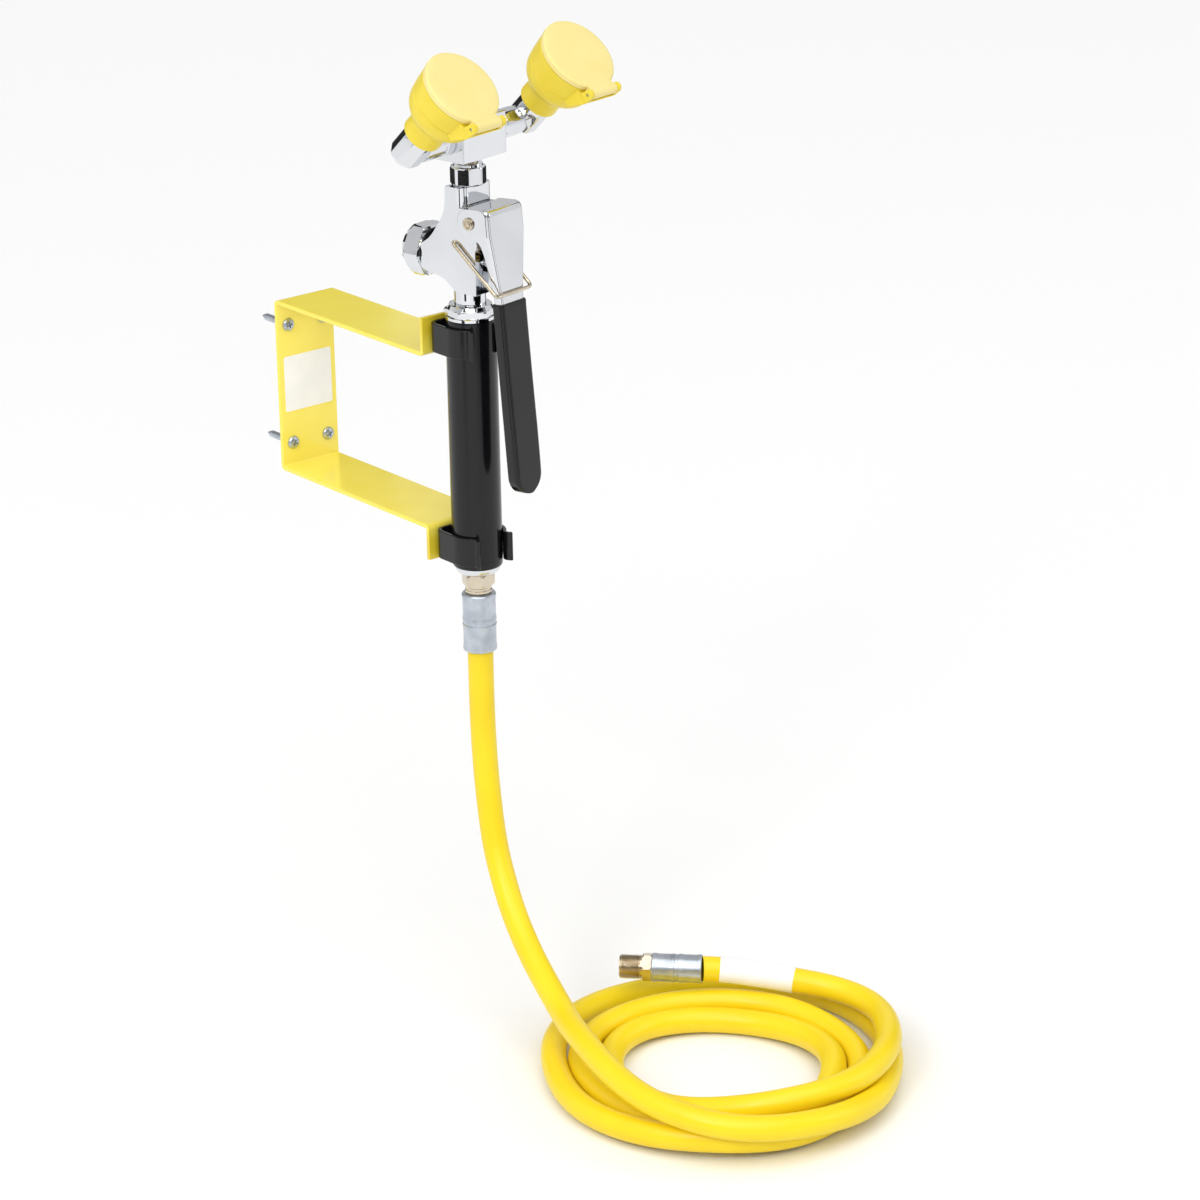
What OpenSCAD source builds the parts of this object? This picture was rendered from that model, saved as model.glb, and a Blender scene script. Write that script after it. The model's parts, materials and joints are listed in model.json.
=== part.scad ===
// Wall-mounted emergency drench unit: twin spray heads on a squeeze valve and grip,
// held in two spring clips on a steel strap bracket, with its hose coiled below.
// Origin: centre of the screw pattern on the bracket's back face. +Z up, -Y into the room.

/* [Bracket] */
// Width of the steel strap
strap_w = 48; // [40:1:60]
// Thickness of the steel strap
strap_t = 3; // [2:0.5:4]
// Height from the lower arm's underside to the upper arm's top
bracket_h = 124; // [104:1:150]
// Reach of the arms from the wall to the flange's front face
arm_len = 170; // [140:1:210]
// Height of the flange at the end of the upper arm
upper_flange = 24; // [21:1:30]
// Height of the flange at the end of the lower arm
lower_flange = 22; // [21:1:30]
// Screw spacing across the plate
screw_dx = 30; // [24:1:34]
// Screw spacing up the plate
screw_dz = 86; // [60:1:94]
// Radius of a screw's shank
screw_r = 2.5; // [2:0.25:3]
// Length of a screw behind the plate
screw_len = 25; // [15:1:40]
// Side of the square label on the plate
label_side = 40; // [30:1:44]

/* [Clips] */
// Height of a clip along the grip
clip_h = 20; // [16:1:21]
// Thickness of the dipped spring steel
clip_t = 2.6; // [2:0.1:3]
// Distance from the flange to the grip's axis
clip_reach = 22; // [22:0.5:26]
// Radius of a rivet's shank
rivet_r = 2.4; // [2:0.1:3]

/* [Grip] */
// Outer radius of the grip sleeve
grip_r = 17; // [15:0.25:18]
// Thickness of the grip sleeve
grip_wall = 2; // [1.5:0.1:3]
// Thickness of the steel tube in the grip
tube_wall = 2; // [1.5:0.1:3]
// Length of the grip that shows above the upper clip
grip_over = 4; // [1:1:20]
// Length of the grip that shows below the lower clip
grip_under = 4; // [1:1:20]
// Turn of the hand unit in its clips
hand_turn = 10; // [0:1:15]

/* [Valve] */
// Width of the valve body across its flat cheeks
body_w = 30; // [28:0.5:32]
// Height of the lever's pivot above the stem's axis
pivot_rise = 28.8; // [27:0.1:30]
// Distance of the lever's pivot in front of the grip's axis
pivot_y = 17; // [16.5:0.1:18]
// Height of the stem's axis above the top of the grip
stem_rise = 41; // [39:0.5:44]
// Radius of the valve stem
stem_r = 3; // [2.5:0.1:3.5]
// Radius of the lever's pivot screw
pivot_r = 3; // [2.5:0.1:3.5]
// Radius across the corners of the bonnet cap
bonnet_r = 19; // [17:0.5:20]

/* [Lever] */
// Length of the lever below its pivot
lever_len = 183; // [150:1:184]
// Width of the lever at its pivot
lever_top_w = 36; // [34.5:0.5:38]
// Width of the lever along the hand grip
lever_low_w = 23; // [20:0.5:24]
// Thickness of the lever's sheet
lever_t = 2; // [1.5:0.1:2]
// Depth of the lever's channel
lever_depth = 6; // [5:0.5:7]
// Distance from the pivot to the lever's front face
lever_front = 16.5; // [16:0.1:17]
// Outward tilt of the lever at rest
lever_tilt = 4.8; // [4:0.1:6]
// Thickness of the dipped coating on the lever
dip_t = 1.2; // [0.8:0.1:1.5]
// Radius of the stay-open bail's wire
wire_r = 1.25; // [1:0.05:1.4]

/* [Heads] */
// Half the distance between the two spray heads
head_x = 56; // [52:0.5:64]
// Radius of a spray head's rim
rim_r = 26.5; // [25:0.5:28]
// Radius of a spray head's neck
neck_r = 13.6; // [12.5:0.1:14]
// Forward tilt of the spray heads from upright
head_tilt = 45; // [40:1:50]
// Thickness of a dust cover
cover_t = 4.5; // [3.5:0.5:5]
// Radius of a cover's hinge barrel
barrel_r = 3.4; // [3:0.1:3.6]
// Radius of a hinge pin
hinge_pin_r = 1.2; // [1:0.1:1.4]

/* [Hose] */
// Outer radius of the hose
hose_r = 8.75; // [8:0.25:9]
// Bore radius of the hose
hose_bore_r = 4.75; // [4.5:0.25:5]
// Outer radius of a crimped ferrule
ferrule_r = 11.6; // [11:0.1:12]
// Length of the crimped ferrule under the grip
ferrule_len = 41; // [36:1:44]
// Outer radius of the ferrule at the hose's far end
end_ferrule_r = 10; // [9.8:0.1:10.2]
// Length of the ferrule at the hose's far end
end_ferrule_len = 35; // [30:1:40]
// Depth of the surface under the hose below the bracket's middle
floor_z = 410; // [410:1:420]

/* [Hidden] */
$fn = 48;
yellow = [0.96, 0.83, 0.1];
gap = 0.3;            // clearance between faces of different bodies
run = 0.05;           // radial clearance of a running fit
bend_r = strap_t + 1; // outer radius of the strap's bends
half_h = bracket_h / 2;
hand_y = -(arm_len + clip_reach);
clip_z_up = half_h + upper_flange / 2 - 1;
clip_z_low = -half_h - lower_flange / 2 + 1;
grip_above = clip_z_up + clip_h / 2 + grip_over;
grip_below = -clip_z_low + clip_h / 2 + grip_under;
stem_z = grip_above + stem_rise;
pivot_z = stem_z + pivot_rise;
screw_head_r = 4.6;
screw_head_h = 2.4;

// Heights along the hand unit, from the grip upwards
rim_z = grip_above + 2.5;
collar_z = rim_z + 7.5;
body_z0 = stem_z - 20.5;
neck_z1 = pivot_z + 21.2;
coupling_z1 = neck_z1 + 14;
block_z0 = coupling_z1 + 4.5;
block_h = 28.5;
block_w = 42;
block_d = 31;
leg_z = block_z0 + block_h / 2;
neck_y = -1.3;        // the outlet's axis, in front of the grip's axis
leg_r = 9.8;
head_s0 = 18;         // from an elbow's corner to the start of the head
cup_top = head_s0 + 47;
plate_s = head_s0 + 26;
plate_r = rim_r - 5.9;
hinge_off = rim_r + 2.6;
hinge_s = cup_top + cover_t / 2 + gap;

// Heights along the hand unit, from the grip downwards
bush_h = 5;
hex_h = 9;
adapt_h = 6.5;
bush_z = -grip_below - bush_h;
hex_z = bush_z - hex_h;
adapt_z = hex_z - adapt_h;
drop_z = adapt_z - ferrule_len;

// The stem's own stations, along Y from the grip's axis
seat_y = 6;
front_y = -19;
bonnet_y = 29;
bonnet_len = 18;
chamber_r = 11;

// ---------- shared shapes ----------

module ring(r_out, r_in, h) {
    difference() {
        cylinder(r = r_out, h = h);
        translate([0, 0, -1]) cylinder(r = r_in, h = h + 2);
    }
}

module hexagon(flats, h) {
    cylinder(r = flats / 2 / cos(30), h = h, $fn = 6);
}

// Lays an upright shape along -Y, its base at y
module along_y(y, z) {
    translate([0, y, z]) rotate([90, 0, 0]) children();
}

// Places a piece of the hand unit in the bracket's frame
module hand() {
    translate([0, hand_y, 0]) rotate([0, 0, hand_turn]) children();
}

// Places a piece on a spray head's axis: its Z leaves the elbow's corner
module head_axis(side) {
    hand() translate([side * head_x, neck_y, leg_z]) rotate([head_tilt, 0, 0]) children();
}

// Places a piece in the lever's frame: origin at the pivot, -Z down the lever
module lever_frame() {
    hand() translate([0, -pivot_y, pivot_z]) rotate([-lever_tilt, 0, 0]) children();
}

function arc(cx, cy, r, a0, a1, n) =
    [for (i = [0:n]) [cx + r * cos(a0 + (a1 - a0) * i / n), cy + r * sin(a0 + (a1 - a0) * i / n)]];

function unit(v) = v / norm(v);

// ---------- bracket ----------

module strap_profile() {
    inner = bend_r - strap_t;
    plate_z = half_h - bend_r;
    tip = arm_len - bend_r;
    polygon(concat(
        [[0, plate_z]],
        arc(-bend_r, plate_z, bend_r, 0, 90, 6),
        arc(-tip, half_h + inner, inner, 270, 180, 4),
        [[-arm_len + strap_t, half_h + upper_flange], [-arm_len, half_h + upper_flange]],
        arc(-tip, half_h + inner, bend_r, 180, 270, 6),
        arc(-bend_r, plate_z, inner, 90, 0, 4),
        arc(-bend_r, -plate_z, inner, 0, -90, 4),
        arc(-tip, -half_h - inner, bend_r, 90, 180, 6),
        [[-arm_len, -half_h - lower_flange], [-arm_len + strap_t, -half_h - lower_flange]],
        arc(-tip, -half_h - inner, inner, 180, 90, 4),
        arc(-bend_r, -plate_z, bend_r, -90, 0, 6)
    ));
}

module at_screws() {
    for (x = [-1, 1], z = [-1, 1])
        translate([x * screw_dx / 2, 0, z * screw_dz / 2]) children();
}

module wall_bracket() {
    color(yellow) difference() {
        rotate([90, 0, 90]) linear_extrude(strap_w, center = true) strap_profile();
        at_screws() rotate([90, 0, 0]) translate([0, 0, -1])
            cylinder(r = screw_r + 0.2, h = strap_t + 2);
        for (z = [clip_z_up, clip_z_low]) translate([0, -arm_len - 1, z]) rotate([-90, 0, 0])
            cylinder(r = rivet_r, h = strap_t + 2);
    }
}

module bracket_label() {
    label_t = 0.4;
    color([0.93, 0.93, 0.9]) translate([-label_side / 2, -strap_t - label_t, -label_side / 2])
        cube([label_side, label_t, label_side]);
}

module bracket_screws() {
    slot_w = 1.1;
    shank_r = screw_r - 0.7; // plain neck in the plate, under the head
    color("silver") at_screws() difference() {
        union() {
            rotate([-90, 0, 0]) cylinder(r = screw_r, h = screw_len);
            rotate([-90, 0, 0]) translate([0, 0, -strap_t]) cylinder(r = shank_r, h = strap_t + 1);
            translate([0, -strap_t, 0]) rotate([90, 0, 0])
                cylinder(r1 = screw_head_r, r2 = screw_head_r - 1.6, h = screw_head_h);
        }
        for (turn = [0, 90]) translate([0, -strap_t - screw_head_h, 0]) rotate([0, turn, 0])
            cube([5, 2.4, slot_w], center = true);
    }
}

// ---------- clips ----------

// Middle line of one clip arm: base, corner, side, grip around the sleeve, lip
function clip_line(r) = let (mid = clip_reach - clip_t / 2, wrap = 44, lip = 4) concat(
    [[0, 0]],
    arc(r - 6, 6, 6, -90, 0, 5),
    arc(0, mid, r, 0, wrap, 6),
    arc((r + lip) * cos(wrap), mid + (r + lip) * sin(wrap), lip, wrap + 160, 110, 5)
);

function clip_side(line, off) = [for (i = [0:len(line) - 1])
    let (a = line[max(i - 1, 0)], b = line[min(i + 1, len(line) - 1)], t = unit(b - a))
    line[i] + off * [i == 0 ? 0 : t[1], i == 0 ? -1 : -t[0]]];

module clip_profile() {
    line = clip_line(grip_r + gap + clip_t / 2);
    outer = clip_side(line, clip_t / 2);
    inner = clip_side(line, -clip_t / 2);
    half = concat(outer, [for (i = [len(inner) - 1:-1:0]) inner[i]]);
    polygon(concat(half, [for (i = [len(half) - 2:-1:1]) [-half[i][0], half[i][1]]]));
}

module clip(z) {
    color([0.08, 0.08, 0.08]) difference() {
        translate([0, -arm_len - clip_t / 2, z - clip_h / 2]) mirror([0, 1, 0])
            linear_extrude(clip_h) clip_profile();
        translate([0, -arm_len + 1, z]) rotate([90, 0, 0]) cylinder(r = rivet_r, h = clip_t + 2);
    }
}

module rivet(z) {
    head_h = 1.2;
    grip = strap_t + clip_t;
    color("silver") translate([0, -arm_len + strap_t, z]) rotate([90, 0, 0]) {
        cylinder(r = rivet_r, h = grip);
        translate([0, 0, grip]) cylinder(r1 = rivet_r + 1.6, r2 = rivet_r + 0.8, h = head_h);
        translate([0, 0, -head_h]) cylinder(r1 = rivet_r + 0.8, r2 = rivet_r + 1.6, h = head_h);
    }
}

module upper_clip() { clip(clip_z_up); }
module lower_clip() { clip(clip_z_low); }
module upper_clip_rivet() { rivet(clip_z_up); }
module lower_clip_rivet() { rivet(clip_z_low); }

// ---------- grip ----------

tube_r = grip_r - grip_wall;
bore_r = tube_r - tube_wall;

module grip_tube() {
    color("silver") hand() translate([0, 0, -grip_below + 2])
        ring(tube_r, bore_r, grip_above + grip_below - 2);
}

module grip_sleeve() {
    lip = 2;
    color([0.07, 0.07, 0.08]) hand() rotate_extrude() polygon([
        [tube_r, -grip_below + lip], [tube_r + 0.6, -grip_below], [grip_r - 1.4, -grip_below],
        [grip_r - 0.4, -grip_below + 1], [grip_r, -grip_below + 2.6],
        [grip_r, grip_above - 0.6], [grip_r - 0.6, grip_above], [tube_r, grip_above]
    ]);
}

module grip_end_bushing() {
    thread_r = 7;
    color("silver") hand() rotate_extrude() polygon([
        [thread_r, bush_z], [13, bush_z], [14.4, bush_z + 1], [tube_r + 0.4, -grip_below - 1.5],
        [tube_r + 0.4, -grip_below], [tube_r, -grip_below], [tube_r, -grip_below + 2],
        [bore_r, -grip_below + 2], [bore_r, -grip_below + 12], [thread_r, -grip_below + 12]
    ]);
}

module locking_collar() {
    flats = 31;
    color("silver") hand() difference() {
        union() {
            translate([0, 0, grip_above]) cylinder(r = grip_r, h = rim_z - grip_above);
            translate([0, 0, rim_z]) hexagon(flats, 4.5);
            translate([0, 0, rim_z + 4.5]) cylinder(r1 = flats / 2, r2 = flats / 2 - 1.5, h = 3);
            translate([0, 0, grip_above - 12]) cylinder(r = bore_r, h = 12);
        }
        translate([0, 0, grip_above - 13]) cylinder(r = 7.5, h = 30);
    }
}

module inlet_stub() {
    color("silver") hand() translate([0, 0, collar_z]) {
        ring(10.7, 5, body_z0 - collar_z);
        translate([0, 0, -18]) ring(7.5, 5, 18);
    }
}

module hose_adaptor() {
    neck = 9.2;
    bore = 4;
    color([0.72, 0.66, 0.55]) hand() difference() {
        union() {
            translate([0, 0, hex_z]) hexagon(20, hex_h - 1);
            translate([0, 0, hex_z + hex_h - 1]) cylinder(r = 9.4, h = 1);
            translate([0, 0, bush_z]) cylinder(r = 7, h = 13);
            translate([0, 0, adapt_z + 3]) cylinder(r = neck, h = adapt_h - 3);
            translate([0, 0, adapt_z]) cylinder(r1 = neck - 1, r2 = neck, h = 3);
            translate([0, 0, adapt_z - 30]) cylinder(r = hose_bore_r, h = 30);
        }
        translate([0, 0, adapt_z - 31]) cylinder(r = bore, h = 70);
    }
}

module adaptor_washer() {
    color([0.1, 0.1, 0.1]) hand() translate([0, 0, bush_z + 13]) ring(7, 4.6, 1.6);
}

// A crimped ferrule: shell with an inturned end around the barb
module ferrule_shell(r, len) {
    mark = len / 2;
    edge = (r - hose_r) / 3;
    rotate_extrude() polygon([
        [hose_r, 1], [hose_r + edge, 0], [r - edge, 0], [r, 1.4],
        [r, mark - 2.5], [r - 0.35, mark - 2], [r - 0.35, mark + 2],
        [r, mark + 2.5], [r, len - 1], [r - edge, len],
        [hose_bore_r, len], [hose_bore_r, len - 2], [hose_r, len - 2]
    ]);
}

module grip_ferrule() {
    color([0.7, 0.72, 0.74]) hand() translate([0, 0, drop_z]) ferrule_shell(ferrule_r, ferrule_len);
}

// ---------- valve ----------

module body_outline() {
    neck_front = neck_y - 8.2;
    neck_back = neck_y + 7.6;
    polygon(concat(
        [[neck_back - 0.2, neck_z1], [neck_back + 0.6, pivot_z + 8], [neck_back + 3.2, pivot_z]],
        [[14.5, stem_z + 22], [21.5, stem_z + 13.6], [bonnet_y, stem_z + 7]],
        [[bonnet_y, stem_z - 8.5], [20, stem_z - 11], [9, stem_z - 12.4], [2, stem_z - 18]],
        [[-1, body_z0], [front_y + 1, body_z0], [front_y, body_z0 + 1]],
        [[front_y, stem_z + 8], [-20.5, stem_z + 14], [-21, pivot_z - 4.5]],
        arc(-pivot_y, pivot_z, 6, 220, 90, 8),
        [[neck_front - 1, pivot_z + 6], [neck_front, pivot_z + 8], [neck_front, neck_z1]]
    ));
}

module valve_body() {
    edge = 5.5;       // rounding of the neck's corners
    hole_y = -1.1;
    hole_z = stem_z + 13.7;
    color([0.78, 0.79, 0.8]) hand() difference() {
        rotate([90, 0, 90]) linear_extrude(body_w, center = true) body_outline();
        // rounded front corners of the neck
        for (side = [-1, 1]) translate([side * body_w / 2, neck_y - 8.2, pivot_z + 8.2]) difference() {
            translate([-edge, -1, 0]) cube([2 * edge, edge + 1, 20]);
            translate([-side * edge, edge, -1]) cylinder(r = edge, h = 22);
        }
        // inlet, outlet, chamber, seat, stem and pivot bores
        translate([0, 2, body_z0 - 1]) cylinder(r = 5, h = stem_z - body_z0 - 7);
        translate([0, neck_y, stem_z]) cylinder(r = 4.5, h = neck_z1 - stem_z + 1);
        along_y(bonnet_y + 1, stem_z) cylinder(r = chamber_r, h = bonnet_y + 1 - seat_y);
        along_y(seat_y + 1, stem_z) cylinder(r = 6, h = 14);
        along_y(seat_y, stem_z) cylinder(r = stem_r + run, h = 40);
        along_y(front_y + 7, stem_z) cylinder(r = 5.5, h = 8);
        translate([-40, -pivot_y, pivot_z]) rotate([0, 90, 0]) cylinder(r = pivot_r, h = 80);
        for (side = [-1, 1]) translate([side * (body_w / 2 - 2.4), hole_y, hole_z]) rotate([0, 90, 0])
            cylinder(r = wire_r + run, h = 5.2, center = true);
    }
}

module valve_seat() {
    color([0.75, 0.6, 0.3]) hand() along_y(seat_y + 2.5, stem_z) ring(chamber_r, 5.5, 2.5);
}

module bonnet_cap() {
    skirt = 10;
    color([0.75, 0.77, 0.8]) hand() difference() {
        union() {
            along_y(bonnet_y + bonnet_len - 5, stem_z) cylinder(r = bonnet_r, h = bonnet_len - 6, $fn = 6);
            along_y(bonnet_y + 1, stem_z) cylinder(r = chamber_r + 2, h = 1);
            along_y(bonnet_y + bonnet_len, stem_z) cylinder(r1 = bonnet_r - 5, r2 = bonnet_r - 1.7, h = 5);
            along_y(bonnet_y, stem_z) cylinder(r = chamber_r, h = skirt);
        }
        along_y(bonnet_y + 8, stem_z) cylinder(r = chamber_r - 2.5, h = 30);
    }
}

module bonnet_washer() {
    color([0.1, 0.1, 0.1]) hand() along_y(bonnet_y + 0.8, stem_z) ring(chamber_r + 4, chamber_r + 2, 0.8);
}

module packing_nut() {
    color([0.75, 0.77, 0.8]) hand() difference() {
        union() {
            along_y(front_y, stem_z) hexagon(13, 4);
            along_y(front_y + 3, stem_z) cylinder(r = 5.5, h = 3);
        }
        along_y(front_y + 4, stem_z) cylinder(r = stem_r + run, h = 10);
    }
}

module packing_ring() {
    color([0.1, 0.1, 0.1]) hand() along_y(front_y + 7, stem_z) ring(5.5, stem_r + run, 4);
}

module valve_spring() {
    coil_r = 7.4;
    wire = 0.8;
    first = seat_y + 8.5;
    last = bonnet_y + 7.2;
    turns = 5;
    color("silver") hand() for (i = [0:turns])
        along_y(first + (last - first) * i / turns, stem_z) rotate_extrude()
            translate([coil_r, 0]) circle(r = wire, $fn = 16);
}

module pivot_screw() {
    reach = lever_top_w / 2;
    color([0.8, 0.78, 0.74]) hand() translate([0, -pivot_y, pivot_z]) rotate([0, 90, 0]) difference() {
        union() {
            translate([0, 0, -reach - gap]) cylinder(r = pivot_r, h = 2 * reach + gap + 2.4);
            translate([0, 0, -reach - gap - 1.3]) cylinder(r1 = 3.4, r2 = 4.2, h = 1.3);
        }
        translate([0, 0, -reach - 1.6]) cube([9, 1, 1.4], center = true);
    }
}

module pivot_nut() {
    color([0.8, 0.78, 0.74]) hand() translate([lever_top_w / 2 + gap, -pivot_y, pivot_z]) rotate([0, 90, 0])
        difference() {
            hexagon(8.5, 2.6);
            translate([0, 0, -1]) cylinder(r = pivot_r, h = 3.1);
        }
}

// ---------- outlet and block ----------

module coupling_nut() {
    color([0.75, 0.77, 0.8]) hand() translate([0, neck_y, neck_z1]) difference() {
        union() {
            cylinder(r = 12, h = 12.2, $fn = 8);
            translate([0, 0, 12.2]) cylinder(r1 = 11, r2 = 9.6, h = 1.8);
        }
        translate([0, 0, -1]) cylinder(r = 6.9, h = 20);
    }
}

module block_nipple() {
    color([0.7, 0.68, 0.62]) hand() translate([0, neck_y, neck_z1]) ring(6.9, 4.5, block_z0 + 8 - neck_z1);
}

module tee_block() {
    side_bore = block_w / 2 - 7;
    color([0.78, 0.79, 0.8]) hand() translate([0, neck_y, block_z0]) difference() {
        translate([-block_w / 2, -block_d / 2, 0]) cube([block_w, block_d, block_h]);
        translate([0, 0, -1]) cylinder(r = 6.9, h = 9);
        cylinder(r = 4.5, h = block_h / 2 + 2);
        translate([-block_w, 0, block_h / 2]) rotate([0, 90, 0]) cylinder(r = 4.5, h = 2 * block_w);
        for (side = [0, 1]) mirror([side, 0, 0]) translate([side_bore, 0, block_h / 2]) rotate([0, 90, 0])
            cylinder(r = 7, h = 8);
    }
}

// An elbow: threaded tail into the block, octagonal corner, round outlet up the head's axis
module elbow(side) {
    tail = block_w / 2 - 7;
    hub = 21;
    color([0.75, 0.77, 0.8]) difference() {
        union() {
            hand() translate([0, neck_y, leg_z]) mirror([side < 0 ? 1 : 0, 0, 0]) rotate([0, 90, 0]) {
                translate([0, 0, tail]) cylinder(r = 7, h = 8);
                translate([0, 0, block_w / 2]) cylinder(r = leg_r, h = head_x - block_w / 2);
            }
            head_axis(side) rotate([0, 0, 22.5]) translate([0, 0, -8.6])
                cylinder(r = hub / 2 / cos(22.5), h = head_s0 + 6.6, $fn = 8);
            head_axis(side) cylinder(r = 8, h = head_s0 + 9);
        }
        hand() translate([0, neck_y, leg_z]) mirror([side < 0 ? 1 : 0, 0, 0]) rotate([0, 90, 0])
            translate([0, 0, tail - 1]) cylinder(r = 4.5, h = head_x - tail + 4);
        head_axis(side) cylinder(r = 4, h = head_s0 + 10);
    }
}

module left_elbow() { elbow(-1); }
module right_elbow() { elbow(1); }

// ---------- spray heads ----------

module head_profile() {
    wall = 2.2;
    polygon([
        [8, head_s0], [neck_r - 0.6, head_s0], [neck_r, head_s0 + 0.8], [neck_r - 0.3, head_s0 + 9],
        [neck_r, head_s0 + 12], [neck_r + 1.6, head_s0 + 14.5], [neck_r + 5, head_s0 + 18],
        [rim_r - 4.6, head_s0 + 21], [rim_r - 2.8, head_s0 + 24.5], [rim_r - 1.4, head_s0 + 29],
        [rim_r, cup_top], [rim_r - wall, cup_top], [rim_r - wall - 1, plate_s + 5],
        [plate_r + 0.1, plate_s + 2.5], [plate_r + 0.1, plate_s], [plate_r - 2, plate_s],
        [plate_r - 3.4, plate_s - 2.5], [neck_r, head_s0 + 20], [9, head_s0 + 14],
        [9, head_s0 + 11], [8, head_s0 + 11]
    ]);
}

hinge_half = 15.2;    // half the hinge's length
knuckle = 3.6;        // length of each knuckle on the cup

module hinge_along(r, x0, x1) {
    translate([x0, -hinge_off, hinge_s]) rotate([0, 90, 0]) cylinder(r = r, h = x1 - x0);
}

// A cup: flared shell with two hinge knuckles at its lower edge
module spray_head(side) {
    web = 11;
    color(yellow) head_axis(side) difference() {
        union() {
            difference() {
                rotate_extrude($fn = 64) head_profile();
                hinge_along(barrel_r + gap + 0.1, -hinge_half, hinge_half);
            }
            for (k = [-1, 1]) difference() {
                translate([k > 0 ? 0 : -knuckle, 0, 0])
                    translate([k * (hinge_half - (k > 0 ? knuckle : -knuckle) * k), 0, 0])
                    hull() {
                        hinge_along(barrel_r, 0, knuckle);
                        translate([0, -rim_r + 3, hinge_s - web]) rotate([0, 90, 0])
                            cylinder(r = 1.5, h = knuckle, $fn = 24);
                    }
                translate([0, 0, 10]) cylinder(r = rim_r - 2.4, h = 90, $fn = 64);
            }
        }
        hinge_along(hinge_pin_r, -hinge_half - 1, hinge_half + 1);
        translate([0, 0, cup_top]) cylinder(r = rim_r + gap, h = 20, $fn = 64);
    }
}

module left_spray_head() { spray_head(-1); }
module right_spray_head() { spray_head(1); }

// The perforated plate in a cup
module spray_plate(side) {
    color([0.85, 0.9, 0.85]) head_axis(side) translate([0, 0, plate_s]) difference() {
        cylinder(r = plate_r, h = 2);
        for (row = [1:3], i = [0:6 * row - 1]) rotate([0, 0, 60 * i / row]) translate([5.6 * row, 0, -1])
            cylinder(r = 0.9, h = 4, $fn = 16);
    }
}

module left_spray_plate() { spray_plate(-1); }
module right_spray_plate() { spray_plate(1); }

module head_washer(side) {
    color([0.1, 0.1, 0.1]) head_axis(side) translate([0, 0, head_s0 + 9]) ring(8, 4.5, 1.6);
}

module left_head_washer() { head_washer(-1); }
module right_head_washer() { head_washer(1); }

module hinge_pin(side) {
    color("silver") head_axis(side) hinge_along(hinge_pin_r, -hinge_half + 0.8, hinge_half - 0.8);
}

module left_hinge_pin() { hinge_pin(-1); }
module right_hinge_pin() { hinge_pin(1); }

// A dust cover: crowned disc with a locating rib and a hinge barrel
module dust_cover(side) {
    cover_r = rim_r + 0.3;
    reach = hinge_half - knuckle - gap;
    color([0.98, 0.9, 0.45]) head_axis(side) difference() {
        union() {
            translate([0, 0, cup_top + gap]) difference() {
                union() {
                    cylinder(r = cover_r, h = cover_t - 0.8, $fn = 64);
                    translate([0, 0, cover_t - 0.8])
                        cylinder(r1 = cover_r, r2 = cover_r - 0.8, h = 0.8, $fn = 64);
                }
                translate([0, 0, -1]) cylinder(r = cover_r - 4.5, h = cover_t - 1.2, $fn = 64);
                for (k = [-1, 1]) translate([k > 0 ? reach + gap : -hinge_half - 4, -hinge_off - 6, -1])
                    cube([hinge_half - reach + 4 - gap, 10.4, cover_t + 2]);
            }
            hinge_along(barrel_r, -reach, reach);
            translate([-reach, -hinge_off, hinge_s - 1.4]) cube([2 * reach, 6, 2.8]);
        }
        hinge_along(hinge_pin_r + run, -hinge_half, hinge_half);
    }
}

module left_dust_cover() { dust_cover(-1); }
module right_dust_cover() { dust_cover(1); }

// ---------- lever ----------

taper_z = -45;        // where the lever reaches its hand width

module lever_front_outline(grow) {
    top = lever_top_w / 2 + grow;
    low = lever_low_w / 2 + grow;
    polygon(concat(
        [[-top, 9.5], [-top, -8]],
        [[-low - 1.2, taper_z], [-low, taper_z - 12]],
        arc(0, -lever_len + lever_low_w / 2, low, 180, 360, 16),
        [[low, taper_z - 12], [low + 1.2, taper_z], [top, -8], [top, 9.5]]
    ));
}

// The ear beside the pivot, seen from the side: Y towards the wall, Z up
module ear_outline() {
    polygon(concat(
        [[-lever_front, 9.5]],
        arc(0, 0, 10.5, 65, -75, 10),
        [[-5, -10.2], [-lever_front + lever_depth, -9], [-lever_front, -8]]
    ));
}

module squeeze_lever() {
    wall = lever_t;
    ear_x = lever_top_w / 2 - wall;
    color([0.8, 0.81, 0.82]) lever_frame() difference() {
        union() {
            difference() {
                translate([0, -lever_front + lever_depth, 0]) rotate([90, 0, 0])
                    linear_extrude(lever_depth) lever_front_outline(0);
                translate([0, -lever_front + lever_depth + 1, 0]) rotate([90, 0, 0])
                    linear_extrude(lever_depth - wall + 1) lever_front_outline(-wall);
            }
            for (side = [-1, 1]) translate([side > 0 ? ear_x : -ear_x - wall, 0, 0]) rotate([90, 0, 90])
                linear_extrude(wall) ear_outline();
            translate([-lever_top_w / 2, -lever_front, 7.5]) cube([lever_top_w, lever_front + 3, 2]);
        }
        translate([-40, 0, 0]) rotate([0, 90, 0]) cylinder(r = pivot_r + run, h = 80);
    }
}

module lever_dip() {
    top_z = -54;
    deep = lever_depth + dip_t;
    color([0.07, 0.07, 0.08]) lever_frame() difference() {
        intersection() {
            translate([0, -lever_front + lever_depth + dip_t, 0]) rotate([90, 0, 0])
                linear_extrude(deep + dip_t) lever_front_outline(dip_t);
            translate([-40, -60, -lever_len - 20]) cube([80, 80, lever_len + 20 + top_z]);
        }
        translate([0, -lever_front + lever_depth + dip_t + 1, 0]) rotate([90, 0, 0])
            linear_extrude(deep - lever_t + 1 - dip_t) lever_front_outline(-lever_t);
        translate([0, -lever_front + lever_depth, 0]) rotate([90, 0, 0])
            linear_extrude(lever_depth) lever_front_outline(0);
    }
}

// ---------- moving valve parts ----------

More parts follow.
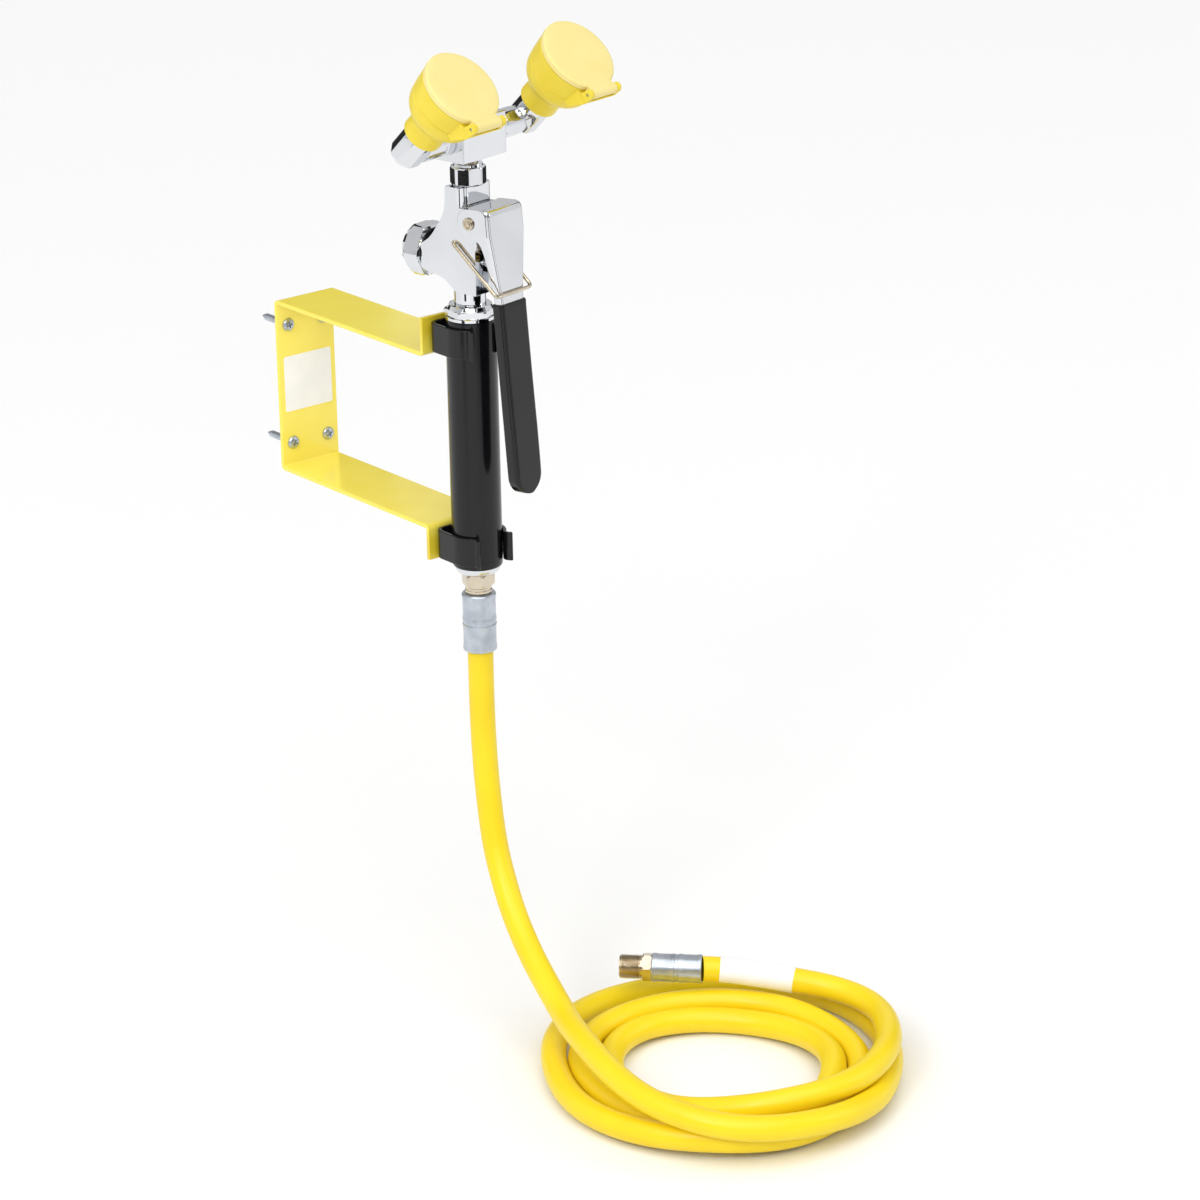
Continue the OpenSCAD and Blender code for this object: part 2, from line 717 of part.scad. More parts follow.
stem_tip = -pivot_y - lever_front / cos(lever_tilt) - (pivot_z - stem_z) * tan(lever_tilt) + lever_t + 0.5;

module valve_stem() {
    color([0.75, 0.6, 0.3]) hand() along_y(seat_y + 9, stem_z)
        cylinder(r = stem_r, h = seat_y + 9 - stem_tip);
}

module stem_disc() {
    color([0.1, 0.1, 0.1]) hand() along_y(seat_y + 5.5, stem_z) ring(8, stem_r, 3);
}

module stem_nut() {
    color([0.75, 0.6, 0.3]) hand() along_y(seat_y + 7.7, stem_z) difference() {
        hexagon(11, 2.2);
        translate([0, 0, -1]) cylinder(r = stem_r, h = 5);
    }
}

// ---------- stay-open bail ----------

module rod(a, b, r) {
    d = b - a;
    translate(a) rotate([0, acos(d[2] / norm(d)), atan2(d[1], d[0])]) cylinder(r = r, h = norm(d), $fn = 24);
}

module stay_open_bail() {
    x = body_w / 2 + wire_r + 1;
    hole = [-1.1, stem_z + 13.7];
    loop = [-38.9, stem_z - 17];
    depth = 4.4;
    points = [
        [-body_w / 2 + depth, hole[0], hole[1]], [-x, hole[0], hole[1]], [-x, loop[0], loop[1]],
        [x, loop[0], loop[1]], [x, hole[0], hole[1]], [body_w / 2 - depth, hole[0], hole[1]]
    ];
    color([0.8, 0.74, 0.62]) hand() {
        for (i = [0:len(points) - 2]) rod(points[i], points[i + 1], wire_r);
        for (i = [1:len(points) - 2]) translate(points[i]) sphere(r = wire_r, $fn = 24);
    }
}

// ---------- hose ----------

coil_at = [45, hand_y - 198];
coil_turn = -42;      // direction of the coil's first axis
coil_out = [116, 125]; // half axes of the outer turn's centre line
coil_in = [74, 66];   // half axes of the inner turn's centre line
coil_h = 28;

// The drop from the grip, then over the coil's edge
drop_path = [
    [0, 0, -165], [0, 0, -192], [0, -2, -234], [-2, -8, -260], [-4, -15, -286], [-7, -28, -309],
    [-11, -45, -330], [-18, -71, -347], [-22, -87, -355], [-32, -124, -369], [-47, -161, -370],
    [-58, -203, -372], [-60, -232, -375]
];
// The last stretch, up over the coil's right side and across its back to the fittings
tail_path = [
    [153, -201, -382], [146, -186, -380], [134, -170, -378], [119, -152, -376], [107, -139, -374],
    [98, -131, -373], [89, -124, -372]
];
tail_dir = unit([-0.69, 0.72, 0]);

// One ring of a hose around point p, square to tangent t; up is never along the route
function hose_ring(p, t, up, r, sides) = let (u = unit(cross(t, up)), v = cross(t, u))
    [for (k = [0:sides - 1]) p + r * cos(360 * k / sides) * u + r * sin(360 * k / sides) * v];

// A closed tube along a route's points, from point i0 to point i1
module hose_tube(path, r, up, i0, i1, sides = 12) {
    last = len(path) - 1;
    n = i1 - i0 + 1;
    points = [for (i = [i0:i1]) let (t = unit(path[min(i + 1, last)] - path[max(i - 1, 0)]))
        each hose_ring(path[i], t, up, r, sides)];
    walls = [for (i = [0:n - 2], k = [0:sides - 1]) let (l = (k + 1) % sides)
        each [[i * sides + l, i * sides + k, (i + 1) * sides + l],
              [(i + 1) * sides + l, i * sides + k, (i + 1) * sides + k]]];
    start = [for (k = [0:sides - 1]) k];
    end = [for (k = [sides - 1:-1:0]) (n - 1) * sides + k];
    polyhedron(points, concat(walls, [start, end]), convexity = 6);
}

module beside_grip() {
    translate([0, hand_y, 0]) children();
}

module hose_drop() {
    route = concat([[0, 0, drop_z + 1]], drop_path);
    color(yellow) beside_grip() hose_tube(route, hose_r, [1, 0, 0], 0, len(route) - 1);
}

module hose_tail() {
    color(yellow) beside_grip() hose_tube(tail_path, hose_r, [0, 0, 1], 0, len(tail_path) - 1);
}

function oval(a, b) = [for (i = [0:47]) [a * cos(7.5 * i), b * sin(7.5 * i)]];

module hose_coil() {
    color(yellow) translate([coil_at[0], coil_at[1], -floor_z]) rotate([0, 0, coil_turn])
        linear_extrude(coil_h) difference() {
            polygon(oval(coil_out[0] + hose_r, coil_out[1] + hose_r));
            polygon(oval(coil_in[0] - hose_r, coil_in[1] - hose_r));
        }
}

// Places a piece on the hose's straight end, s past the last point of the route
module on_tail(s) {
    beside_grip() translate(tail_path[len(tail_path) - 1] + s * tail_dir)
        rotate([0, 90, atan2(tail_dir[1], tail_dir[0])]) children();
}

module tail_ferrule() {
    color([0.7, 0.72, 0.74]) on_tail(0) ferrule_shell(end_ferrule_r, end_ferrule_len);
}

module inlet_fitting() {
    thread_r = 8.6;
    bore = 4;
    barb_len = end_ferrule_len - 4;
    color([0.72, 0.66, 0.55]) on_tail(end_ferrule_len) difference() {
        union() {
            rotate([0, 0, 30]) hexagon(18, 6);
            translate([0, 0, 5]) cylinder(r = thread_r - 0.8, h = 3.5);
            translate([0, 0, 7.5]) cylinder(r = thread_r, h = 14);
            translate([0, 0, 21.5]) cylinder(r1 = thread_r, r2 = thread_r - 1, h = 1);
            translate([0, 0, 1 - barb_len]) cylinder(r = hose_bore_r, h = barb_len);
        }
        translate([0, 0, -31]) cylinder(r = bore, h = 60);
    }
}

// A band wrapped round the hose, following its bend
module hose_tag() {
    last = len(tail_path) - 1;
    color([0.95, 0.95, 0.92]) beside_grip() difference() {
        hose_tube(tail_path, hose_r + 0.5, [0, 0, 1], last - 3, last - 1);
        hose_tube(tail_path, hose_r + 0.1, [0, 0, 1], last - 4, last);
    }
}

wall_bracket();
bracket_label();
bracket_screws();
upper_clip();
lower_clip();
upper_clip_rivet();
lower_clip_rivet();
grip_tube();
grip_sleeve();
grip_end_bushing();
locking_collar();
hose_adaptor();
adaptor_washer();
grip_ferrule();
valve_body();
inlet_stub();
valve_seat();
bonnet_cap();
bonnet_washer();
packing_nut();
packing_ring();
valve_spring();
pivot_screw();
pivot_nut();
coupling_nut();
block_nipple();
tee_block();
left_elbow();
right_elbow();
left_spray_head();
right_spray_head();
left_spray_plate();
right_spray_plate();
left_hinge_pin();
right_hinge_pin();
left_head_washer();
right_head_washer();
squeeze_lever();
lever_dip();
valve_stem();
stem_disc();
stem_nut();
stay_open_bail();
left_dust_cover();
right_dust_cover();
hose_drop();
hose_coil();
hose_tail();
tail_ferrule();
inlet_fitting();
hose_tag();
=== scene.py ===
"""A wall-mounted drench hose with two capped spray heads, dressed piece by piece."""

from __future__ import annotations

import json
import logging
import math
from dataclasses import dataclass, field
from enum import Enum
from typing import Callable, Sequence

import bmesh
import bpy
import numpy as np
from mathutils import Matrix, Vector

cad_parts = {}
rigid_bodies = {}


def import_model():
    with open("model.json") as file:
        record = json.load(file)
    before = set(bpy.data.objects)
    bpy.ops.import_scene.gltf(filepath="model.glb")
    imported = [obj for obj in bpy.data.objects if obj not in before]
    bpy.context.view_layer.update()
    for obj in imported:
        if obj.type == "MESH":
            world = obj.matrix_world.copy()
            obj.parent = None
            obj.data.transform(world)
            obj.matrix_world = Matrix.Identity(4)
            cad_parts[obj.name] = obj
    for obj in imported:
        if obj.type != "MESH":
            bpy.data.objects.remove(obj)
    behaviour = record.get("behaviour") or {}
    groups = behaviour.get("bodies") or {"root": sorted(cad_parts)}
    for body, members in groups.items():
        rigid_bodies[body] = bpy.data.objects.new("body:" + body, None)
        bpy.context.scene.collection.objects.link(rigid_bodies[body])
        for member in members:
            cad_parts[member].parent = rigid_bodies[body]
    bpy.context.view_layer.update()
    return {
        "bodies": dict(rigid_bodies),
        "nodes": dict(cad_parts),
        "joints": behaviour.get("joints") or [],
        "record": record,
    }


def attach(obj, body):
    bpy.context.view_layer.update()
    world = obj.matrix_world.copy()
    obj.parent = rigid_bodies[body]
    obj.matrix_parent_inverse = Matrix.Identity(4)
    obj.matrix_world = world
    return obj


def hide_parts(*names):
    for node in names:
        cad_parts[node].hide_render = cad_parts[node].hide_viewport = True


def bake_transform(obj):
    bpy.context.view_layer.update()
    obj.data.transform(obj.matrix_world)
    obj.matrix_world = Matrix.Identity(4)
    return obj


LOG = logging.getLogger("drench_hose")
MM = 0.001
Point2 = tuple[float, float]
Point3 = tuple[float, float, float]
Limit = Callable[[float, float], float]
Colour = tuple[float, float, float, float]

# Shared positions on the hand unit, in millimetres
GRIP_Y = -192.0
GRIP_TURN = 10.0
OUTLET_Y = -1.3
HEAD_X = 56.0
LEG_Z = 210.75
PIVOT: Point2 = (-17.0, 156.8)
# Share of a nut's full corner radius that its turned corners keep
CORNER_TRIM = 0.992
# Noise values between which a finish goes from its colour to its shade
CLOUD_FADE = {"From Min": 0.35, "From Max": 0.7}
# Pointiness between which an edge takes its own tint
EDGE_FADE = {"From Min": 0.52, "From Max": 0.6}
# How much finer the uneven gloss is than the clouds
GLOSS_PATCHES = 5


class Body(Enum):
    """The moving bodies that pieces ride on."""

    BRACKET = "bracket"
    HAND = "hand_unit"
    LEVER = "lever"
    STEM = "stem"
    BAIL = "bail"
    LEFT_COVER = "left_cover"
    RIGHT_COVER = "right_cover"


class Slot(Enum):
    """The record's material slots."""

    YELLOW_COAT = "yellow_coat"
    YELLOW_PLASTIC = "yellow_plastic"
    PALE_PLASTIC = "pale_yellow_plastic"
    CHROME = "chrome"
    NICKEL = "nickel"
    ZINC = "zinc"
    BRASS = "brass"
    BLACK_VINYL = "black_vinyl"
    BLACK_RUBBER = "black_rubber"
    HOSE_YELLOW = "hose_yellow"
    WHITE_LABEL = "white_label"
    SPRAY_PLASTIC = "spray_plastic"


class Side(Enum):
    """Which of the two spray heads."""

    LEFT = -1
    RIGHT = 1


def rgb(red: int, green: int, blue: int) -> Colour:
    """Turn an 8-bit display colour into a linear one.

    Args:
        red: Red, 0 to 255.
        green: Green, 0 to 255.
        blue: Blue, 0 to 255.

    Returns:
        The linear colour with full alpha.
    """
    def line(value: int) -> float:
        """Linearise one channel."""
        part = value / 255
        return part / 12.92 if part <= 0.04045 else ((part + 0.055) / 1.055) ** 2.4
    return (line(red), line(green), line(blue), 1.0)


def wire(tree: bpy.types.NodeTree, kind: str, out: str, values: dict[str, object],
         sources: dict[str | int, bpy.types.NodeSocket], **settings: str
         ) -> bpy.types.NodeSocket:
    """Add a shader node, set it and feed it.

    Args:
        tree: The node tree that takes it.
        kind: Its type, without the part that all types share.
        out: The output that is wanted.
        values: Values of its sockets.
        sources: What feeds its other sockets.
        **settings: Its own options.

    Returns:
        The wanted output.
    """
    node = tree.nodes.new("ShaderNode" + kind)
    for option, choice in settings.items():
        setattr(node, option, choice)
    for socket, value in values.items():
        node.inputs[socket].default_value = value
    for socket, source in sources.items():
        tree.links.new(source, node.inputs[socket])
    return node.outputs[out]


@dataclass(frozen=True)
class Finish:
    """A procedural surface: two blended colours, uneven gloss and a fine relief."""

    slot: Slot
    colour: Colour
    shade: Colour
    gloss: Point2
    metallic: float = 0.0
    coat: float = 0.0
    coat_gloss: float = 0.08
    specular: float = 0.5
    cloud: float = 45.0
    grain: float = 900.0
    relief: float = 0.00002
    relief_strength: float = 0.3
    stretch: Point3 = (1.0, 1.0, 1.0)
    edge: Colour | None = None

    def material(self) -> bpy.types.Material:
        """Build the node material.

        Returns:
            The material, named after its slot.
        """
        stuff = bpy.data.materials.new(self.slot.value + "_finish")
        stuff.use_nodes = True
        tree = stuff.node_tree
        shader = tree.nodes["Principled BSDF"]
        for socket, value in (("Metallic", self.metallic), ("Coat Weight", self.coat),
                              ("Coat Roughness", self.coat_gloss),
                              ("Specular IOR Level", self.specular)):
            shader.inputs[socket].default_value = value
        where = wire(tree, "TexCoord", "Object", {}, {})
        drawn = wire(tree, "Mapping", "Vector", {"Scale": self.stretch}, {"Vector": where})
        clouds, patches, grain = (
            wire(tree, "TexNoise", "Fac", {"Scale": scale, "Detail": detail}, {"Vector": vector})
            for scale, detail, vector in ((self.cloud, 4.0, where),
                                          (self.cloud * GLOSS_PATCHES, 3.0, drawn),
                                          (self.grain, 2.0, drawn)))
        share = wire(tree, "MapRange", "Result", CLOUD_FADE, {"Value": clouds})
        colour = wire(tree, "Mix", "Result", {"A": self.colour, "B": self.shade},
                      {"Factor": share}, data_type="RGBA")
        if self.edge is not None:
            # A coat pulls back from sharp edges and looks deeper there
            edges = wire(tree, "NewGeometry", "Pointiness", {}, {})
            share = wire(tree, "MapRange", "Result", EDGE_FADE, {"Value": edges})
            colour = wire(tree, "Mix", "Result", {"B": self.edge},
                          {"A": colour, "Factor": share}, data_type="RGBA")
        gloss = wire(tree, "MapRange", "Result",
                     {"To Min": self.gloss[0], "To Max": self.gloss[1]}, {"Value": patches})
        normal = wire(tree, "Bump", "Normal", {"Strength": self.relief_strength,
                                               "Distance": self.relief}, {"Height": grain})
        for socket, source in (("Base Color", colour), ("Roughness", gloss), ("Normal", normal)):
            tree.links.new(source, shader.inputs[socket])
        return stuff


FINISHES: tuple[Finish, ...] = (
    Finish(Slot.YELLOW_COAT, rgb(250, 233, 98), rgb(248, 229, 88), (0.20, 0.28), coat=0.3,
           coat_gloss=0.1, grain=900, relief=0.00001, relief_strength=0.12,
           edge=rgb(224, 200, 50)),
    Finish(Slot.YELLOW_PLASTIC, rgb(234, 212, 66), rgb(229, 205, 57), (0.30, 0.42),
           grain=1500, relief=0.00002, relief_strength=0.2, specular=0.4),
    Finish(Slot.PALE_PLASTIC, rgb(237, 221, 148), rgb(235, 217, 138), (0.36, 0.5),
           grain=1700, relief=0.00002, relief_strength=0.22, specular=0.35),
    Finish(Slot.CHROME, rgb(224, 226, 229), rgb(214, 216, 220), (0.03, 0.075), metallic=1.0,
           cloud=25, grain=240, relief=0.00001, relief_strength=0.05),
    Finish(Slot.NICKEL, rgb(214, 203, 184), rgb(196, 182, 158), (0.13, 0.26), metallic=1.0,
           grain=1300, relief=0.00001, relief_strength=0.2),
    Finish(Slot.ZINC, rgb(196, 202, 210), rgb(172, 180, 190), (0.24, 0.4), metallic=0.9,
           cloud=120, grain=1500, relief=0.00002, relief_strength=0.35,
           stretch=(0.25, 0.25, 3.0)),
    Finish(Slot.BRASS, rgb(214, 178, 104), rgb(196, 158, 86), (0.2, 0.34), metallic=1.0),
    Finish(Slot.BLACK_VINYL, rgb(12, 12, 14), rgb(17, 17, 19), (0.12, 0.22), specular=0.34,
           coat=0.12, coat_gloss=0.05, grain=300, relief=0.00006, relief_strength=0.12),
    Finish(Slot.BLACK_RUBBER, rgb(12, 12, 15), rgb(18, 18, 21), (0.16, 0.26), specular=0.32,
           coat=0.08, coat_gloss=0.1, grain=1100, relief=0.00002, relief_strength=0.15),
    Finish(Slot.HOSE_YELLOW, rgb(244, 216, 27), rgb(239, 208, 21), (0.30, 0.44), cloud=22,
           grain=1000, relief=0.00004, relief_strength=0.3, specular=0.4),
    Finish(Slot.WHITE_LABEL, rgb(248, 248, 250), rgb(240, 241, 244), (0.3, 0.42), cloud=60,
           grain=420, relief=0.00003, relief_strength=0.12),
    Finish(Slot.SPRAY_PLASTIC, rgb(228, 232, 224), rgb(216, 222, 212), (0.32, 0.44)),
)


def arc(centre: Point2, radius: float, start: float, end: float, steps: int) -> list[Point2]:
    """Lay points along an arc, both ends included, with its angles in degrees."""
    angles = [math.radians(start + (end - start) * i / steps) for i in range(steps + 1)]
    return [(centre[0] + radius * math.cos(a), centre[1] + radius * math.sin(a)) for a in angles]


def flow(points: Sequence[Sequence[float]], spans: int = 5) -> list[tuple[float, ...]]:
    """Run a smooth curve through points.

    Args:
        points: The points it passes.
        spans: Short chords between two neighbours.

    Returns:
        The curve's points, in as many dimensions as the points have.
    """
    p = [np.array(q, float) for q in points]
    p = [2 * p[0] - p[1]] + p + [2 * p[-1] - p[-2]]
    line: list[tuple[float, ...]] = []
    for a, b, c, d in zip(p, p[1:], p[2:], p[3:]):
        for i in range(spans):
            t = i / spans
            line.append(tuple(0.5 * (2 * b + (c - a) * t + (2 * a - 5 * b + 4 * c - d) * t**2
                                     + (3 * b - a - 3 * c + d) * t**3)))
    return line + [tuple(p[-2])]


def rounded_path(points: Sequence[Point3], radius: float, steps: int = 8) -> list[Point3]:
    """Round the corners of a bent wire's path.

    Args:
        points: The path's corners.
        radius: How far from a corner the bend starts.
        steps: Chords in each bend.

    Returns:
        The path with its bends.
    """
    p = [Vector(q) for q in points]
    line = [tuple(p[0])]
    for a, b, c in zip(p, p[1:], p[2:]):
        near = min(radius, (a - b).length / 2.05, (c - b).length / 2.05)
        start, end = b + (a - b).normalized() * near, b + (c - b).normalized() * near
        for i in range(steps + 1):
            t = i / steps
            line.append(tuple(start * (1 - t) ** 2 + b * 2 * t * (1 - t) + end * t**2))
    return line + [tuple(p[-1])]


def flats(across: float, sides: int, low: float, high: float, first: float = 0.0) -> Limit:
    """Limit a turned shape to a regular polygon between two heights.

    Args:
        across: Size across the flats.
        sides: Number of flats.
        low: Where the flats start.
        high: Where they end.
        first: Angle of a corner in degrees.

    Returns:
        The limit on the radius at an angle and a height.
    """
    share = 2 * math.pi / sides

    def limit(angle: float, height: float) -> float:
        """Give the polygon's radius there."""
        if not low - 1e-6 <= height <= high + 1e-6:
            return math.inf
        off = (angle - math.radians(first)) % share - share / 2
        return min(across / 2 / math.cos(off), across / 2 / math.cos(share / 2) * CORNER_TRIM)
    return limit


def put(name: str, data: bpy.types.ID) -> bpy.types.Object:
    """Make an object from its data and put it in the scene."""
    thing = bpy.data.objects.new(name, data)
    bpy.context.scene.collection.objects.link(thing)
    return thing


class Shape:
    """A mesh under construction, in millimetres."""

    def __init__(self) -> None:
        """Start with nothing."""
        self.bm = bmesh.new()

    def lathe(self, profile: Sequence[Point2], steps: int = 72,
              limit: Limit | None = None) -> "Shape":
        """Turn a closed profile round Z.

        Args:
            profile: (radius, height) points. A radius of 0 closes on the axis.
            steps: Points round the turn.
            limit: The most that the radius may be at an angle and a height.

        Returns:
            This shape.
        """
        rings: list[list[bmesh.types.BMVert]] = []
        for radius, height in profile:
            if radius < 1e-6:
                rings.append([self.bm.verts.new((0, 0, height))])
                continue
            ring = []
            for i in range(steps):
                angle = 2 * math.pi * i / steps
                r = min(radius, limit(angle, height)) if limit else radius
                ring.append(self.bm.verts.new((r * math.cos(angle), r * math.sin(angle), height)))
            rings.append(ring)
        self._skin(rings, all(len(r) > 1 for r in rings))
        return self

    def _skin(self, rings: list[list[bmesh.types.BMVert]], closed: bool) -> None:
        """Join rings by faces.

        Args:
            rings: The rings in order, single points among them.
            closed: Whether the last ring joins the first.
        """
        pairs = list(zip(rings, rings[1:])) + ([(rings[-1], rings[0])] if closed else [])
        for one, two in pairs:
            count = max(len(one), len(two))
            for i in range(count):
                k = (i + 1) % count
                face = list(dict.fromkeys([one[i % len(one)], one[k % len(one)],
                                           two[k % len(two)], two[i % len(two)]]))
                if len(face) > 2:
                    self.bm.faces.new(face)

    def prism(self, outline: Sequence[Point2], low: float, high: float) -> "Shape":
        """Raise an outline along Z.

        Args:
            outline: The closed outline.
            low: Its lower height.
            high: Its upper height.

        Returns:
            This shape.
        """
        return self.loft([[(x, y, z) for x, y in outline] for z in (low, high)])

    def loft(self, sections: Sequence[Sequence[Point3]]) -> "Shape":
        """Skin closed sections of equal count, and close both ends.

        Args:
            sections: The sections' points in order.

        Returns:
            This shape.
        """
        rings = [[self.bm.verts.new(p) for p in section] for section in sections]
        count = len(rings[0])
        for one, two in zip(rings, rings[1:]):
            for i in range(count):
                k = (i + 1) % count
                self.bm.faces.new([one[i], one[k], two[k], two[i]])
        self.bm.faces.new(list(reversed(rings[0])))
        self.bm.faces.new(rings[-1])
        return self

    def tube(self, path: Sequence[Sequence[float]], radius: float, sides: int) -> "Shape":
        """Sweep a round section along a path without twist.

        Args:
            path: The path's points.
            radius: The section's radius.
            sides: Points round the section.

        Returns:
            This shape.
        """
        p = [Vector(q) for q in path]
        ways = [(b - a).normalized() for a, b in zip(p, p[1:])]
        ways = [ways[0]] + [(a + b).normalized() for a, b in zip(ways, ways[1:])] + [ways[-1]]
        side = ways[0].orthogonal().normalized()
        sections = []
        for here, way in zip(p, ways):
            side = (side - way * side.dot(way)).normalized()
            other = way.cross(side)
            sections.append([
                tuple(here + radius * (math.cos(a) * side + math.sin(a) * other))
                for a in (2 * math.pi * k / sides for k in range(sides))])
        return self.loft(sections)

    def thread(self, root: float, crest: float, pitch: float, low: float, high: float,
               bore: float) -> "Shape":
        """Cut a helical outside thread on a hollow end.

        Args:
            root: Radius at the thread's root.
            crest: Radius at its crest.
            pitch: Rise of one turn.
            low: Lower end.
            high: Upper end, which is chamfered.
            bore: Radius of the bore.

        Returns:
            This shape.
        """
        steps, rise = 60, pitch / 8
        count = int((high - low) / rise)
        heights = [low + (high - low) * i / count for i in range(count + 1)]

        def form(angle: float, height: float) -> float:
            """Give the thread's radius there."""
            phase = (height / pitch - angle / (2 * math.pi)) % 1
            wave = 1 - abs(2 * phase - 1)
            fade = min(1.0, (height - low) / pitch, (high - height) / pitch)
            return root + (crest - root) * wave * max(fade, 0)
        profile = ([(bore, low), (crest, low)] + [(crest, h) for h in heights[1:-1]]
                   + [(root - 0.5, high), (bore + 0.6, high), (bore, high - 0.6)])
        return self.lathe(profile, steps, lambda a, h: form(a, h) if h > low else crest)

    def soften(self, width: float, segments: int = 2, angle: float = 30.0) -> "Shape":
        """Round the sharp edges.

        Args:
            width: Width of the rounding.
            segments: Faces across it.
            angle: The least angle, in degrees, that is rounded.

        Returns:
            This shape.
        """
        bmesh.ops.recalc_face_normals(self.bm, faces=self.bm.faces)
        edges = [e for e in self.bm.edges if e.is_manifold
                 and e.calc_face_angle(0.0) > math.radians(angle)]
        bmesh.ops.bevel(self.bm, geom=edges, offset=width, segments=segments, profile=0.5,
                        affect="EDGES", clamp_overlap=True)
        return self

    def place(self, matrix: Matrix) -> "Shape":
        """Move the whole shape by a matrix in millimetres."""
        bmesh.ops.transform(self.bm, matrix=matrix, verts=self.bm.verts)
        return self

    def add(self, other: "Shape") -> "Shape":
        """Take another shape's faces into this one."""
        spare = bpy.data.meshes.new("spare")
        other.bm.to_mesh(spare)
        other.bm.free()
        self.bm.from_mesh(spare)
        bpy.data.meshes.remove(spare)
        return self

    def combine(self, other: "Shape", how: str) -> "Shape":
        """Join or cut this shape with another.

        Args:
            other: The other shape, which is used up.
            how: UNION or DIFFERENCE.

        Returns:
            This shape.
        """
        objects = []
        for shape in (self, other):
            bmesh.ops.recalc_face_normals(shape.bm, faces=shape.bm.faces)
            mesh = bpy.data.meshes.new("work")
            shape.bm.to_mesh(mesh)
            shape.bm.free()
            objects.append(put("work", mesh))
        step = objects[0].modifiers.new("join", "BOOLEAN")
        step.operation, step.solver, step.object = how, "EXACT", objects[1]
        bpy.context.view_layer.update()
        done = objects[0].evaluated_get(bpy.context.evaluated_depsgraph_get()).to_mesh()
        self.bm = bmesh.new()
        self.bm.from_mesh(done)
        for thing in objects:
            mesh = thing.data
            bpy.data.objects.remove(thing)
            bpy.data.meshes.remove(mesh)
        return self


def turn(x: float = 0.0, y: float = 0.0, z: float = 0.0) -> Matrix:
    """Turn about X, then Y, then Z, in degrees."""
    about_x, about_y, about_z = (Matrix.Rotation(math.radians(angle), 4, axis)
                                 for angle, axis in ((x, "X"), (y, "Y"), (z, "Z")))
    return about_z @ about_y @ about_x


def shift(x: float, y: float, z: float) -> Matrix:
    """Move by a distance in millimetres."""
    return Matrix.Translation((x, y, z))


# Raises an outline drawn as (Y, Z) along X
ALONG_X = Matrix(((0, 0, 1, 0), (1, 0, 0, 0), (0, 1, 0, 0), (0, 0, 0, 1)))
HAND = shift(0, GRIP_Y, 0) @ turn(z=GRIP_TURN)


@dataclass
class Workshop:
    """Turns shapes into dressed pieces that ride on their bodies."""

    frame: dict
    finishes: dict[Slot, bpy.types.Material] = field(init=False)

    def __post_init__(self) -> None:
        """Make every finish once."""
        self.finishes = {finish.slot: finish.material() for finish in FINISHES}

    def piece(self, name: str, shape: Shape, body: Body | None, slot: Slot, nodes: Sequence[str],
              place: Matrix = Matrix.Identity(4), crease: float = 32.0) -> bpy.types.Object:
        """Finish a shape as a piece of the model.

        Args:
            name: The piece's name.
            shape: Its shape, which is used up.
            body: The body it rides on, or None where two bodies share it.
            slot: Its finish.
            nodes: The nodes that it stands for.
            place: Where it goes, in millimetres.
            crease: The angle in degrees above which an edge stays sharp.

        Returns:
            The new object.
        """
        shape.place(Matrix.Scale(MM, 4) @ place)
        bmesh.ops.recalc_face_normals(shape.bm, faces=shape.bm.faces)
        mesh = bpy.data.meshes.new(name)
        shape.bm.to_mesh(mesh)
        shape.bm.free()
        mesh.materials.append(self.finishes[slot])
        mesh.polygons.foreach_set("use_smooth", [True] * len(mesh.polygons))
        mesh.set_sharp_from_angle(angle=math.radians(crease))
        thing = put(name, mesh)
        even = thing.modifiers.new("even_normals", "WEIGHTED_NORMAL")
        even.keep_sharp = True
        if body is not None:
            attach(thing, body.value)
        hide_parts(*nodes)
        LOG.info("%s: %d faces on %s", name, len(mesh.polygons), body.value if body else "two")
        return thing

    def dress_carried_nodes(self) -> None:
        """Give every node that still shows its procedural finish."""
        slots = {part["node"]: Slot(part["material_slot"])
                 for part in self.frame["record"]["subparts"]}
        for name, node in self.frame["nodes"].items():
            finish = self.finishes[slots[name]]
            if not node.data.materials:
                node.data.materials.append(finish)
            for index in range(len(node.data.materials)):
                node.data.materials[index] = finish
            LOG.info("%s: dressed as %s", name, slots[name].value)


